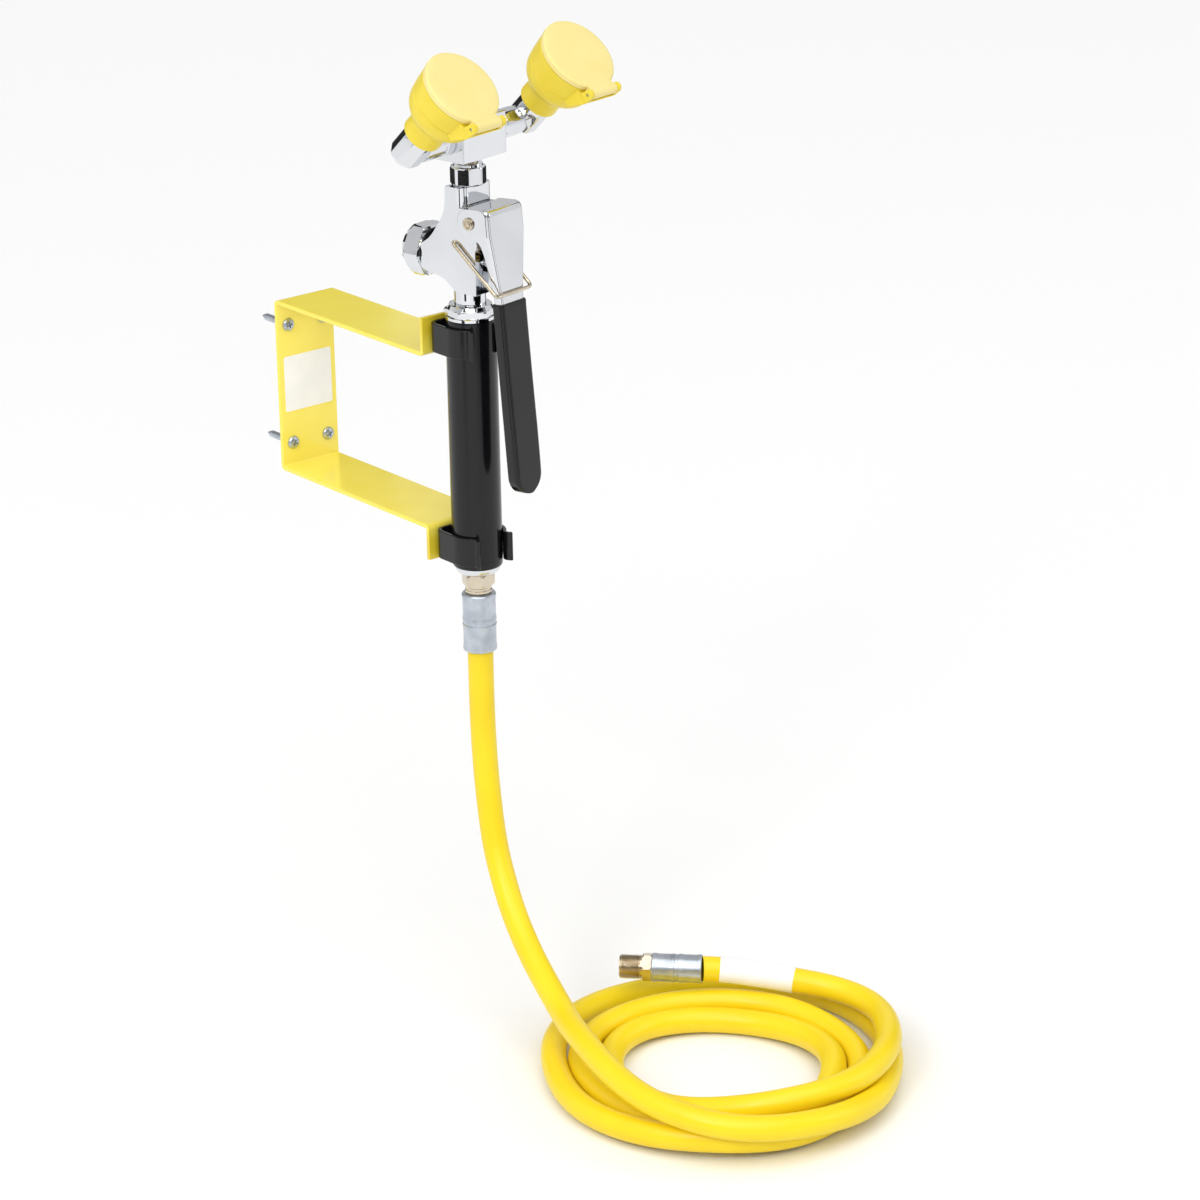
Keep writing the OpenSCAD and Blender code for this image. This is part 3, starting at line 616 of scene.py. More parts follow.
@dataclass
class Studio:
    """The pale floor, the soft lights and the camera."""

    floor_z: float = -0.4105
    floor_half: float = 14.0
    eye: Point3 = (-1.58128, -2.25311, 0.8625)
    pan: float = -0.68591
    pitch: float = 1.21108
    roll: float = -0.01784
    lens: float = 123.07
    sensor: float = 36.0
    card_reach: float = 1.6
    card_top: float = 1.7
    # Bearing in degrees and width in metres
    cards: tuple[Point2, ...] = (
        (15, 0.42), (-62, 0.2), (-100, 0.3), (-163, 0.42), (98, 0.45), (60, 0.24))

    # Name, place, power and size
    lamps: tuple[tuple[str, Point3, float, float], ...] = (
        ("key", (-2.4, -1.2, 1.6), 20, 0.9), ("fill", (2.0, -2.2, 1.0), 7, 0.6))
    # Place round the room as a share of the turn, and brightness
    bands: tuple[Point2, ...] = (
        (0.0, 0.62), (0.055, 0.62), (0.07, 0.03), (0.105, 0.03), (0.12, 0.60), (0.2, 0.60),
        (0.215, 0.48), (0.29, 0.48), (0.305, 0.02), (0.35, 0.02), (0.365, 0.85), (0.50, 0.85),
        (0.515, 0.05), (0.545, 0.05), (0.56, 0.66), (0.71, 0.66), (0.725, 0.03), (0.765, 0.03),
        (0.78, 0.9), (1.0, 0.62))
    room_strength: float = 0.95
    sun_energy: float = 1.9
    # Width of the sun and its tilts about X and Y, in degrees
    sun_width: float = 70.0
    sun_tilt: Point2 = (24.0, -22.0)
    middle: Point3 = (0.0, -0.2, 0.0)

    def camera(self) -> None:
        """Set up the camera."""
        data = bpy.data.cameras.new("camera")
        data.lens, data.sensor_width = self.lens, self.sensor
        camera = put("camera", data)
        camera.matrix_world = (Matrix.Translation(self.eye) @ Matrix.Rotation(self.pan, 4, "Z")
                               @ Matrix.Rotation(self.pitch, 4, "X")
                               @ Matrix.Rotation(self.roll, 4, "Z"))
        bpy.context.scene.camera = camera

    @staticmethod
    def _matt(name: str, colour: Colour, roughness: float) -> bpy.types.Material:
        """Make a plain dull material.

        Args:
            name: Its name.
            colour: Its linear colour.
            roughness: Its roughness.

        Returns:
            The material.
        """
        stuff = bpy.data.materials.new(name)
        stuff.use_nodes = True
        shader = stuff.node_tree.nodes["Principled BSDF"]
        shader.inputs["Base Color"].default_value = colour
        shader.inputs["Roughness"].default_value = roughness
        return stuff

    @staticmethod
    def _board(name: str, corners: Sequence[Point3], stuff: bpy.types.Material
               ) -> bpy.types.Object:
        """Set up a flat board.

        Args:
            name: Its name.
            corners: Its four corners in order.
            stuff: Its material.

        Returns:
            The board.
        """
        mesh = bpy.data.meshes.new(name)
        mesh.from_pydata(corners, [], [(0, 1, 2, 3)])
        mesh.materials.append(stuff)
        board = put(name, mesh)
        return board

    def floor(self) -> None:
        """Lay the floor."""
        half, z = self.floor_half, self.floor_z
        paper = self._matt("floor_paper", (0.9, 0.9, 0.9, 1), 0.8)
        shader = paper.node_tree.nodes["Principled BSDF"]
        shader.inputs["Specular IOR Level"].default_value = 0.1
        self._board("floor", [(-half, -half, z), (half, -half, z), (half, half, z),
                              (-half, half, z)], paper)

    def lights(self) -> None:
        """Hang the soft lights and light the room round them."""
        sun = bpy.data.lights.new("overhead", "SUN")
        sun.energy, sun.angle = self.sun_energy, math.radians(self.sun_width)
        put("overhead", sun).rotation_euler = (*map(math.radians, self.sun_tilt), 0)
        for name, where, power, size in self.lamps:
            data = bpy.data.lights.new(name, "AREA")
            data.energy, data.size = power, size
            lamp = put(name, data)
            lamp.location = where
            aim = Vector(self.middle) - Vector(where)
            lamp.rotation_euler = aim.to_track_quat("-Z", "Y").to_euler()
        self._room()

    def dark_cards(self) -> None:
        """Stand narrow dark cards round the object, which only polished metal mirrors."""
        black = self._matt("card_black", (0.012, 0.011, 0.011, 1), 0.9)
        low, high = self.floor_z, self.card_top
        for index, (bearing, width) in enumerate(self.cards):
            way = Vector((math.cos(math.radians(bearing)), math.sin(math.radians(bearing)), 0))
            across = Vector((-way.y, way.x, 0)) * width / 2
            foot = way * self.card_reach + Vector(self.middle)
            near, far = (foot - across).xy, (foot + across).xy
            card = self._board(f"card_{index}", [(*near, low), (*far, low), (*far, high),
                                                 (*near, high)], black)
            card.visible_camera = card.visible_shadow = card.visible_diffuse = False

    def _room(self) -> None:
        """Light the room evenly, with a few dark gaps for polished metal to mirror."""
        world = bpy.data.worlds.new("room")
        bpy.context.scene.world = world
        world.use_nodes = True
        tree = world.node_tree
        where = wire(tree, "TexCoord", "Generated", {}, {})
        x = wire(tree, "SeparateXYZ", "X", {}, {"Vector": where})
        angle = wire(tree, "Math", "Value", {}, {0: x.node.outputs["Y"], 1: x},
                     operation="ARCTAN2")
        share = wire(tree, "MapRange", "Result", {"From Min": -math.pi, "From Max": math.pi},
                     {"Value": angle})
        colour = wire(tree, "ValToRGB", "Color", {}, {"Fac": share})
        ramp = colour.node.color_ramp
        ramp.interpolation = "EASE"
        while len(ramp.elements) < len(self.bands):
            ramp.elements.new(0.5)
        for element, (at, level) in zip(ramp.elements, self.bands):
            element.position = at
            element.color = (level, level, level, 1)
        light = tree.nodes["Background"]
        tree.links.new(colour, light.inputs["Color"])
        light.inputs["Strength"].default_value = self.room_strength


@dataclass
class HoseLine:
    """The hose, its ferrules and the fittings at its two ends."""

    shop: Workshop
    radius: float = 8.75
    top: float = -147.5
    grip_ferrule: Point2 = (11.6, 41.0)
    tail_ferrule: Point2 = (10.0, 35.0)
    coil_centre: Point2 = (45.0, -198.0)
    coil_turn: float = -42.0
    drop: tuple[Point3, ...] = (
        (0, 0, -147.5), (0, 0, -165), (0, 0, -192), (0, -2, -234), (-2, -8, -260),
        (-4, -15, -286), (-7, -28, -309), (-11, -45, -330), (-18, -71, -347), (-22, -87, -355))
    # Angle round the coil, distance from its centre, height
    stations: tuple[Point3, ...] = (
        (178, 107, -369), (200, 99, -368), (225, 103, -372), (250, 117, -377),
        (275, 130, -382), (300, 127, -387), (325, 118, -395), (350, 111, -399),
        (375, 114, -401), (400, 120, -401), (425, 124, -401), (450, 124, -401),
        (475, 123, -401), (500, 123, -399), (525, 119, -397), (550, 114, -399),
        (575, 115, -400), (600, 116, -399), (625, 118, -396), (650, 117, -398),
        (675, 106, -401), (700, 95, -401), (725, 90, -399), (750, 84, -397),
        (775, 81, -395), (800, 81, -395), (825, 84, -395), (850, 90, -396),
        (875, 96, -397), (900, 98, -398), (925, 95, -399), (950, 95, -400),
        (975, 97, -400), (1000, 102, -401), (1025, 93, -401), (1050, 80, -398),
        (1075, 74, -396), (1100, 68, -397), (1125, 64, -399), (1150, 63, -401),
        (1175, 65, -401), (1200, 70, -400), (1225, 76, -399), (1250, 78, -400),
        (1275, 77, -401), (1300, 75, -401), (1325, 78, -399), (1350, 85, -392),
        (1375, 99, -383), (1400, 108, -380), (1425, 110, -379), (1450, 111, -382),
        (1461, 114, -384), (1472, 113, -383), (1480, 108, -382), (1489, 102, -380.5),
        (1499, 93, -378.5), (1514, 87, -376), (1526, 86, -373.5), (1541, 86, -372))
    tail_way: Point3 = (-0.69, 0.72, 0.0)
    step: float = 4.0
    smoothing_passes: int = 22
    smoothing: float = 0.4

    def route(self) -> list[Point3]:
        """Work out the hose's centre line, turn by turn.

        Returns:
            Points about 4 mm apart, in millimetres.
        """
        turned = math.radians(self.coil_turn)
        u = (math.cos(turned), math.sin(turned))
        v = (-u[1], u[0])
        points = list(self.drop)
        stations = np.array(self.stations, float)
        for theta, rho, z in flow(stations, 3):
            c, s = rho * math.cos(math.radians(theta)), rho * math.sin(math.radians(theta))
            points.append((self.coil_centre[0] + c * u[0] + s * v[0],
                           self.coil_centre[1] + c * u[1] + s * v[1], z))
        line = np.array(flow(points, 6))
        along = np.concatenate([[0], np.cumsum(np.linalg.norm(np.diff(line, axis=0), axis=1))])
        count = int(along[-1] / self.step)
        at = np.linspace(0, along[-1], count + 1)
        even = np.stack([np.interp(at, along, line[:, k]) for k in range(3)], axis=1)
        for _ in range(self.smoothing_passes):
            even[3:-2] += self.smoothing * ((even[2:-3] + even[4:-1]) / 2 - even[3:-2])
        even[:, 1] += GRIP_Y
        return [tuple(p) for p in even]

    def build(self) -> None:
        """Make the hose and everything on it."""
        path = self.route()
        hose = self.shop.piece("hose", Shape().tube(path, self.radius, 32), Body.HAND,
                               Slot.HOSE_YELLOW, ["hose_drop", "hose_coil", "hose_tail"])
        ends = self._tail_pieces(path) + self._grip_end()

    def _tail_pieces(self, path: Sequence[Point3]) -> list[bpy.types.Object]:
        """Make the label, the ferrule and the threaded fitting at the far end.

        Args:
            path: The hose's centre line.

        Returns:
            The three pieces.
        """
        out = Vector(self.tail_way).to_track_quat("Z", "Y").to_matrix().to_4x4()
        place = Matrix.Translation(path[-1]) @ out
        ferrule = self.shop.piece("tail_ferrule_shell", self._ferrule(*self.tail_ferrule),
                                  Body.HAND, Slot.ZINC, ["tail_ferrule"], place)
        fitting = Shape().lathe([
            (4.2, -1), (9.2, -1), (9.6, -0.4), (10.4, 0.6), (10.4, 5.2), (9.4, 6.2), (7.9, 6.4),
            (7.9, 8), (4.2, 8)], 96, flats(18, 6, -2, 5.5, 15))
        fitting.add(Shape().thread(7.75, 8.75, 1.41, 7.5, 22.3, 4.2))
        inlet = self.shop.piece("inlet_thread_fitting", fitting, Body.HAND, Slot.NICKEL,
                                ["inlet_fitting"],
                                place @ shift(0, 0, self.tail_ferrule[1]), 25)
        label = self.shop.piece("hose_label", self._label(path), Body.HAND, Slot.WHITE_LABEL,
                                ["hose_tag"])
        return [ferrule, inlet, label]

    def _label(self, path: Sequence[Point3]) -> Shape:
        """Wrap a blank film round the hose, with its overlap as a low ridge.

        Args:
            path: The hose's centre line.

        Returns:
            The film.
        """
        span = path[-17:-3]
        film = Shape().tube(span, self.radius + 0.28, 40)
        p = [Vector(q) for q in span]
        angles = np.linspace(0.35, 2.1, 9)
        flap = []
        for a, b in zip(p, p[1:]):
            way = (b - a).normalized()
            side = way.cross(Vector((0, 0, 1))).normalized()
            up = side.cross(way)
            flap.append([
                tuple(a + (self.radius + lift) * (math.cos(t) * side + math.sin(t) * up))
                for lift, turned in ((0.2, angles), (0.62, angles[::-1])) for t in turned])
        return film.add(Shape().loft(flap))

    def _ferrule(self, radius: float, length: float) -> Shape:
        """Turn a crimped ferrule with a seam round its middle.

        Args:
            radius: Its outer radius.
            length: Its length.

        Returns:
            The ferrule, its hose end at height 0.
        """
        mid, r = length / 2, radius
        crimp = [(r, 1.6), (r - 0.1, 3.0), (r - 0.34, 4.2), (r - 0.34, mid - 4.4),
                 (r - 0.1, mid - 3.2), (r, mid - 2.2), (r, mid - 1.5), (r - 0.5, mid - 1.2),
                 (r - 0.5, mid + 1.2), (r, mid + 1.5), (r, mid + 2.2), (r - 0.1, mid + 3.2),
                 (r - 0.34, mid + 4.4), (r - 0.34, length - 4.6), (r - 0.1, length - 3.4),
                 (r, length - 2.2), (r, length - 0.9), (r - 0.7, length)]
        bore = self.radius + 0.02
        return Shape().lathe([(bore, 0.5), (bore + 0.35, 0), (r - 0.8, 0), (r - 0.15, 0.5)]
                             + crimp + [(5.0, length), (5.0, length - 2), (bore, length - 2)], 72)

    def _grip_end(self) -> list[bpy.types.Object]:
        """Make the ferrule and the adaptor under the grip.

        Returns:
            The two pieces.
        """
        ferrule = self.shop.piece("grip_ferrule_shell", self._ferrule(*self.grip_ferrule),
                                  Body.HAND, Slot.ZINC, ["grip_ferrule"],
                                  HAND @ shift(0, 0, self.top))
        adaptor = Shape().lathe([
            (4, 0), (8.0, 0), (9.2, 1.4), (9.2, 2.6), (8.6, 3.2), (8.6, 4.4), (9.2, 5.0),
            (9.4, 6.3), (10.6, 6.5), (11.4, 7.6), (11.4, 13.2), (10.5, 14.5), (9.4, 14.6),
            (9.4, 15.5), (7, 15.5), (7, 28), (4, 28)], 96, flats(20, 6, 6.4, 14.5))
        hexagon = self.shop.piece("hose_adaptor_hex", adaptor, Body.HAND, Slot.NICKEL,
                                  ["hose_adaptor"],
                                  HAND @ shift(0, 0, self.top + self.grip_ferrule[1]), 25)
        return [ferrule, hexagon]


@dataclass
class WallBracket:
    """The bent strap, its label and screws, and the two spring clips."""

    shop: Workshop
    width: float = 48.0
    thick: float = 3.0
    arm: float = 170.0
    half: float = 62.0
    upper: float = 24.0
    lower: float = 22.0
    clip_thick: float = 2.6
    clip_high: float = 20.0
    clip_reach: float = 22.0
    grip: float = 17.0
    clip_heights: Point2 = (73.0, -72.0)
    # Across, height and turn of the cross
    screws: tuple[Point3, ...] = ((-15, 43, 12), (15, 43, 40), (-15, -43, 65), (15, -43, 28))

    def build(self) -> None:
        """Make every piece of the bracket."""
        self._strap()
        self._label()
        self._screws()
        for name, height in zip(("upper", "lower"), self.clip_heights):
            self._clip(name, height)
            self._rivet(name, height)

    def _strap(self) -> None:
        """Bend the strap from one outline."""
        r, t, h, a = self.thick + 1, self.thick, self.half, self.arm
        i, tip, plate = r - t, a - r, h - r

        def upper_half(lip: float) -> list[Point2]:
            """Draw the strap's upper half with a turned end of some length."""
            return (arc((-r, plate), r, 0, 90, 12) + arc((-tip, h + i), i, 270, 180, 8)
                    + [(-a + t, h + lip), (-a, h + lip)]
                    + arc((-tip, h + i), r, 180, 270, 12) + arc((-r, plate), i, 90, 0, 8))
        outline = upper_half(self.upper) + [
            (y, -z) for y, z in reversed(upper_half(self.lower))]
        strap = Shape().prism(outline, -self.width / 2, self.width / 2)
        strap.soften(0.55, 3, 50)
        self.shop.piece("strap", strap, Body.BRACKET, Slot.YELLOW_COAT, ["wall_bracket"], ALONG_X)

    def _label(self) -> None:
        """Stick the blank square label on the plate."""
        half, corner, y = 20.0, 1.6, -self.thick
        inner = half - corner
        outline = [p for cx, cy, start in ((inner, inner, 0), (-inner, inner, 90),
                                           (-inner, -inner, 180), (inner, -inner, 270))
                   for p in arc((cx, cy), corner, start, start + 90, 6)]
        film = Shape().prism(outline, 0.02, 0.3).soften(0.08, 1, 50)
        self.shop.piece("plate_label", film, Body.BRACKET, Slot.WHITE_LABEL, ["bracket_label"],
                        shift(0, y, 0) @ turn(x=90))

    def _screws(self) -> None:
        """Turn the four domed screws and press their crosses."""
        screws = Shape()
        cross = [(-2.5, -0.5), (-0.5, -0.5), (-0.5, -2.5)]
        for _ in range(3):
            cross += [(-y, x) for x, y in cross[-3:]]
        for x, z, spin in self.screws:
            screw = Shape().lathe([
                (0, -27.8), (0.8, -26), (2.5, -22), (2.5, 0), (1.8, 0.05), (1.8, 3), (4.6, 3.0),
                (4.6, 3.5), (4.3, 4.3), (3.5, 5.0), (2.2, 5.4), (0, 5.5)], 40)
            screw.combine(Shape().prism(cross, 3.9, 7), "DIFFERENCE")
            screws.add(screw.place(shift(x, 0, z) @ turn(x=90) @ turn(z=spin)))
        self.shop.piece("plate_screws", screws, Body.BRACKET, Slot.ZINC, ["bracket_screws"])

    def _clip(self, name: str, height: float) -> None:
        """Bend one dipped spring clip.

        Args:
            name: Upper or lower.
            height: Its middle.
        """
        t, mid = self.clip_thick, self.clip_reach - self.clip_thick / 2
        r, lip, wrap = self.grip + 0.3 + t / 2, 4.0, 44.0
        edge = math.radians(wrap)
        line = ([(0.0, 0.0)] + arc((r - 6, 6), 6, -90, 0, 8) + arc((0, mid), r, 0, wrap, 12)
                + arc(((r + lip) * math.cos(edge), mid + (r + lip) * math.sin(edge)), lip,
                      wrap + 160, 110, 8))
        sides: list[list[Point2]] = []
        for off in (t / 2, -t / 2):
            row = []
            for i, (x, y) in enumerate(line):
                a, b = line[max(i - 1, 0)], line[min(i + 1, len(line) - 1)]
                n = math.dist(a, b)
                way = ((b[0] - a[0]) / n, (b[1] - a[1]) / n)
                row.append((0.0, y - off) if i == 0 else (x + off * way[1], y - off * way[0]))
            sides.append(row)
        half = sides[0] + sides[1][::-1]
        outline = half + [(-x, y) for x, y in reversed(half[1:-1])]
        clip = Shape().prism([(x, -y) for x, y in outline], -self.clip_high / 2,
                             self.clip_high / 2)
        clip.soften(0.8, 4, 50)
        self.shop.piece(f"{name}_spring_clip", clip, Body.BRACKET, Slot.BLACK_VINYL,
                        [f"{name}_clip"], shift(0, -self.arm - t / 2, height), 40)

    def _rivet(self, name: str, height: float) -> None:
        """Close one rivet through strap and clip.

        Args:
            name: Upper or lower.
            height: Its middle.
        """
        grip = self.thick + self.clip_thick
        rivet = Shape().lathe([
            (0, -1.3), (2.4, -1.1), (3.6, -0.6), (4.0, 0), (2.4, 0), (2.4, grip), (3.9, grip),
            (3.4, grip + 0.8), (1.8, grip + 1.2), (0, grip + 1.25)], 40)
        self.shop.piece(f"{name}_rivet", rivet, Body.BRACKET, Slot.ZINC, [f"{name}_clip_rivet"],
                        shift(0, -self.arm + self.thick, height) @ turn(x=90))


@dataclass
class Grip:
    """The sleeved handle with its bushing and locking collar."""

    shop: Workshop
    radius: float = 17.0
    low: float = -86.0
    high: float = 87.0

    def build(self) -> None:
        """Make the sleeve, bushing, collar and inlet stub."""
        r, a, b = self.radius, self.low, self.high
        sleeve = Shape().lathe([
            (15, a + 2), (15.4, a + 0.3), (15.9, a), (16.4, a + 0.2), (16.9, a + 1.0),
            (r, a + 2.4), (r, a + 5.4), (r - 0.14, a + 5.7), (r - 0.14, a + 6.1), (r, a + 6.4),
            (r, b - 1.0), (r - 0.25, b - 0.3), (r - 0.8, b), (15, b)], 96)
        self.shop.piece("grip_cover_sleeve", sleeve, Body.HAND, Slot.BLACK_RUBBER,
                        ["grip_sleeve"], HAND)
        bush = Shape().lathe([
            (7, a - 5), (12.6, a - 5), (13.2, a - 4.8), (14.4, a - 3.9), (15.1, a - 2.6),
            (15.4, a - 1.4), (15.4, a - 0.2), (15.0, a), (13, a + 0.2), (13, a + 12),
            (7, a + 12)], 72)
        self.shop.piece("grip_end_ring", bush, Body.HAND, Slot.CHROME, ["grip_end_bushing"], HAND)
        collar = Shape().lathe([
            (7.5, b - 12), (13, b - 12), (13, b), (16.7, b), (17, b + 0.3), (17, b + 2.2),
            (16.4, b + 2.5), (17.4, b + 2.8), (18, b + 3.4), (18, b + 6.2), (17.2, b + 6.9),
            (15.6, b + 7.1), (15.3, b + 7.5), (14.2, b + 9.6), (13.4, b + 10),
            (7.5, b + 10)], 96, flats(31, 6, b + 2.6, b + 7, 15))
        self.shop.piece("collar_ring", collar, Body.HAND, Slot.CHROME, ["locking_collar"], HAND,
                        24)
        stub = Shape().lathe([
            (5, 79), (7.5, 79), (7.5, 96), (10.3, 96.6), (10.7, 97.4), (10.7, 106.4),
            (10.3, 107.4), (5, 107.4)], 72)
        self.shop.piece("inlet_neck", stub, Body.HAND, Slot.CHROME, ["inlet_stub"], HAND)


@dataclass
class Valve:
    """The forged valve body with its bonnet and its pivot."""

    shop: Workshop
    half_width: float = 15.0
    stem_z: float = 128.0
    bonnet_y: float = 47.0
    nut_y: float = -19.0
    cheek_x: float = 18.3
    neck_top: float = 178.0

    def build(self) -> None:
        """Make every outside piece of the valve."""
        self._body()
        self._bonnet()
        self._packing_nut()
        self._pivot_screw()
        self._spring()

    def _spring(self) -> None:
        """Wind the closing spring at one fixed length."""
        near, far, mean, wire = 14.5, 36.2, 7.4, 0.8
        turns, chords, closed = 6.5, 24, 0.11
        path = []
        for i in range(int(turns * chords) + 1):
            share = i / (turns * chords)
            rise = min(max((share - closed) / (1 - 2 * closed), 0.0), 1.0)
            angle = 2 * math.pi * i / chords
            path.append((mean * math.cos(angle), near + (far - near) * rise + 0.3 * share,
                         self.stem_z + mean * math.sin(angle)))
        spring = self.shop.piece("closing_spring", Shape().tube(path, wire, 10), None,
                                 Slot.ZINC, ["valve_spring"], HAND, 60)
        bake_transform(spring)

    def _outline(self) -> list[Point2]:
        """Draw the body from the side, as (depth, height).

        Returns:
            The closed outline.
        """
        z = self.stem_z
        back = flow([(6.1, self.neck_top), (6.3, 170), (7.2, 163), (9.6, 156.8), (14.5, z + 21.4),
                     (21.0, z + 13.2), (29, z + 7.6)], 4)
        under = flow([(29, z - 8.8), (23, z - 10.4), (14.5, z - 11.6), (8.5, z - 13.4),
                      (3.5, z - 17), (-1, z - 20.5)], 4)
        front = [(-18.4, z - 20.5), (-19, z - 19.9), (-19, z + 8), (-20.5, z + 14),
                 (-21, PIVOT[1] - 4.5)]
        boss = arc(PIVOT, 6, 220, 90, 12)
        neck = flow([(-11.6, PIVOT[1] + 6), (-10, PIVOT[1] + 6.7),
                     (-9.5, PIVOT[1] + 8.4)], 3)
        return back + under + front + boss + neck + [(-9.5, self.neck_top)]

    def _body(self) -> None:
        """Forge the body: one thick outline with a rounded neck and soft edges."""
        body = Shape().prism(self._outline(), -self.half_width, self.half_width).place(ALONG_X)
        low, half, front, r = PIVOT[1] + 8.2, self.half_width, -9.5, 5.6
        for sign in (-1, 1):
            sliver = arc((half - r, front + r), r, -90, 0, 10) + [
                (half + 1, front + r), (half + 1, front - 1), (half - r, front - 1)]
            outline = [(sign * x, y) for x, y in sliver]
            body.combine(Shape().prism(outline, low, self.neck_top + 1), "DIFFERENCE")
        body.soften(0.8, 3, 38)
        self.shop.piece("valve_forging", body, Body.HAND, Slot.CHROME, ["valve_body"],
                        HAND, 40)

    def _bonnet(self) -> None:
        """Turn the bonnet's hexagon with its chamfered rim."""
        cap = Shape().lathe([
            (0, 1.2), (9.6, 1.2), (10.2, 0.5), (11.2, 0.0), (13.4, 0.0), (14.4, 0.35), (17.6, 4.2),
            (19.4, 6.6), (19.4, 13.8), (17.8, 16.2), (15.2, 17.0), (13, 17.1), (13, 18),
            (0, 18)], 96, flats(33, 6, 4.0, 16.6))
        self.shop.piece("bonnet_hex", cap, Body.HAND, Slot.CHROME, ["bonnet_cap"],
                        HAND @ shift(0, self.bonnet_y, self.stem_z) @ turn(x=90), 22)

    def _packing_nut(self) -> None:
        """Turn the small nut that the stem comes out of."""
        nut = Shape().lathe([
            (3.1, -3), (5.5, -3), (5.5, 0), (7.2, 0.2), (7.6, 0.8), (7.6, 3.0), (6.6, 3.8),
            (4.2, 4.0), (3.1, 3.7)], 60, flats(13, 6, 0.1, 3.9))
        self.shop.piece("stem_packing_nut", nut, Body.HAND, Slot.CHROME, ["packing_nut"],
                        HAND @ shift(0, self.nut_y, self.stem_z) @ turn(x=90), 24)

    def _pivot_screw(self) -> None:
        """Turn the lever's pivot and its nut."""
        screw = Shape().lathe([
            (0, -38.9), (2.6, -38.9), (2.95, -38.5), (2.95, 0.0), (4.1, 0.0), (4.3, 0.4),
            (4.1, 1.0), (3.5, 1.3), (2.8, 1.25), (2.5, 0.7), (2.0, 0.6), (1.8, 1.1), (1.2, 1.45),
            (0, 1.5)], 48)
        at = HAND @ shift(-self.cheek_x, *PIVOT) @ turn(y=-90)
        self.shop.piece("pivot_pin", screw, Body.HAND, Slot.NICKEL, ["pivot_screw"], at, 25)
        nut = Shape().lathe([
            (3.0, 0), (4.6, 0), (4.9, 0.4), (4.9, 2.0), (4.3, 2.6), (3.3, 2.6),
            (3.0, 2.3)], 60, flats(8.5, 6, -0.1, 2.5))
        at = HAND @ shift(self.cheek_x, *PIVOT) @ turn(y=90)
        self.shop.piece("pivot_hex", nut, Body.HAND, Slot.NICKEL, ["pivot_nut"], at, 25)


@dataclass
class Outlet:
    """The coupling, the tee block and the two elbows."""

    shop: Workshop
    base: float = 178.0
    block: Point3 = (42.0, 31.0, 28.5)
    block_low: float = 196.5

    def build(self) -> None:
        """Make every piece between the valve and the heads."""
        nut = Shape().lathe([
            (6.9, 0), (10.8, 0), (11.4, 0.5), (12.2, 0.9), (12.2, 11.0), (11.4, 11.9),
            (10.9, 12.2), (10.2, 12.5), (9.6, 13.9), (9.2, 14.1),
            (6.9, 14.1)], 96, flats(22.2, 8, 0.8, 11.6))
        at = HAND @ shift(0, OUTLET_Y, self.base)
        self.shop.piece("coupling_octagon", nut, Body.HAND, Slot.CHROME, ["coupling_nut"], at, 20)
        nipple = Shape().thread(6.2, 6.88, 1.4, 0, 26, 4.5)
        self.shop.piece("block_nipple_thread", nipple, Body.HAND, Slot.NICKEL, ["block_nipple"],
                        at, 25)
        w, d, h = self.block
        block = Shape().prism([(-w / 2, -d / 2), (w / 2, -d / 2), (w / 2, d / 2), (-w / 2, d / 2)],
                              0, h).soften(0.9, 3)
        self.shop.piece("tee_block_polished", block, Body.HAND, Slot.CHROME, ["tee_block"],
                        HAND @ shift(0, OUTLET_Y, self.block_low))
        for side in Side:
            self._elbow(side)

    def _elbow(self, side: Side) -> None:
        """Forge one street elbow: a banded leg and a faceted corner.

        Args:
            side: Which elbow.
        """
        s = side.value
        corner = HAND @ shift(s * HEAD_X, OUTLET_Y, LEG_Z)
        leg = Shape().lathe([
            (0, 14.2), (7, 14.2), (7, 21.05), (8.6, 21.3), (9.8, 22.2), (9.8, 27.4), (9.2, 28.0),
            (9.2, 29.4), (9.8, 30.0), (9.9, 42), (9.3, 48), (7.4, 53), (0, 54)], 72)
        leg.place(HAND @ shift(0, OUTLET_Y, LEG_Z) @ turn(y=90 * s))
        hub = Shape().lathe([
            (0, -8.8), (5.4, -8.8), (6.4, -8.5), (11.6, -3.2), (11.6, 12.6), (9.9, 15.8),
            (9.0, 16.2), (8.6, 16.6), (8.6, 17.2), (8.0, 17.4), (8.0, 26.8),
            (0, 26.8)], 96, flats(21, 8, -4, 13.2, 22.5))
        hub.place(corner @ turn(x=45))
        self.shop.piece(f"{side.name.lower()}_street_elbow", leg.add(hub), Body.HAND, Slot.CHROME,
                        [f"{side.name.lower()}_elbow"], crease=22)


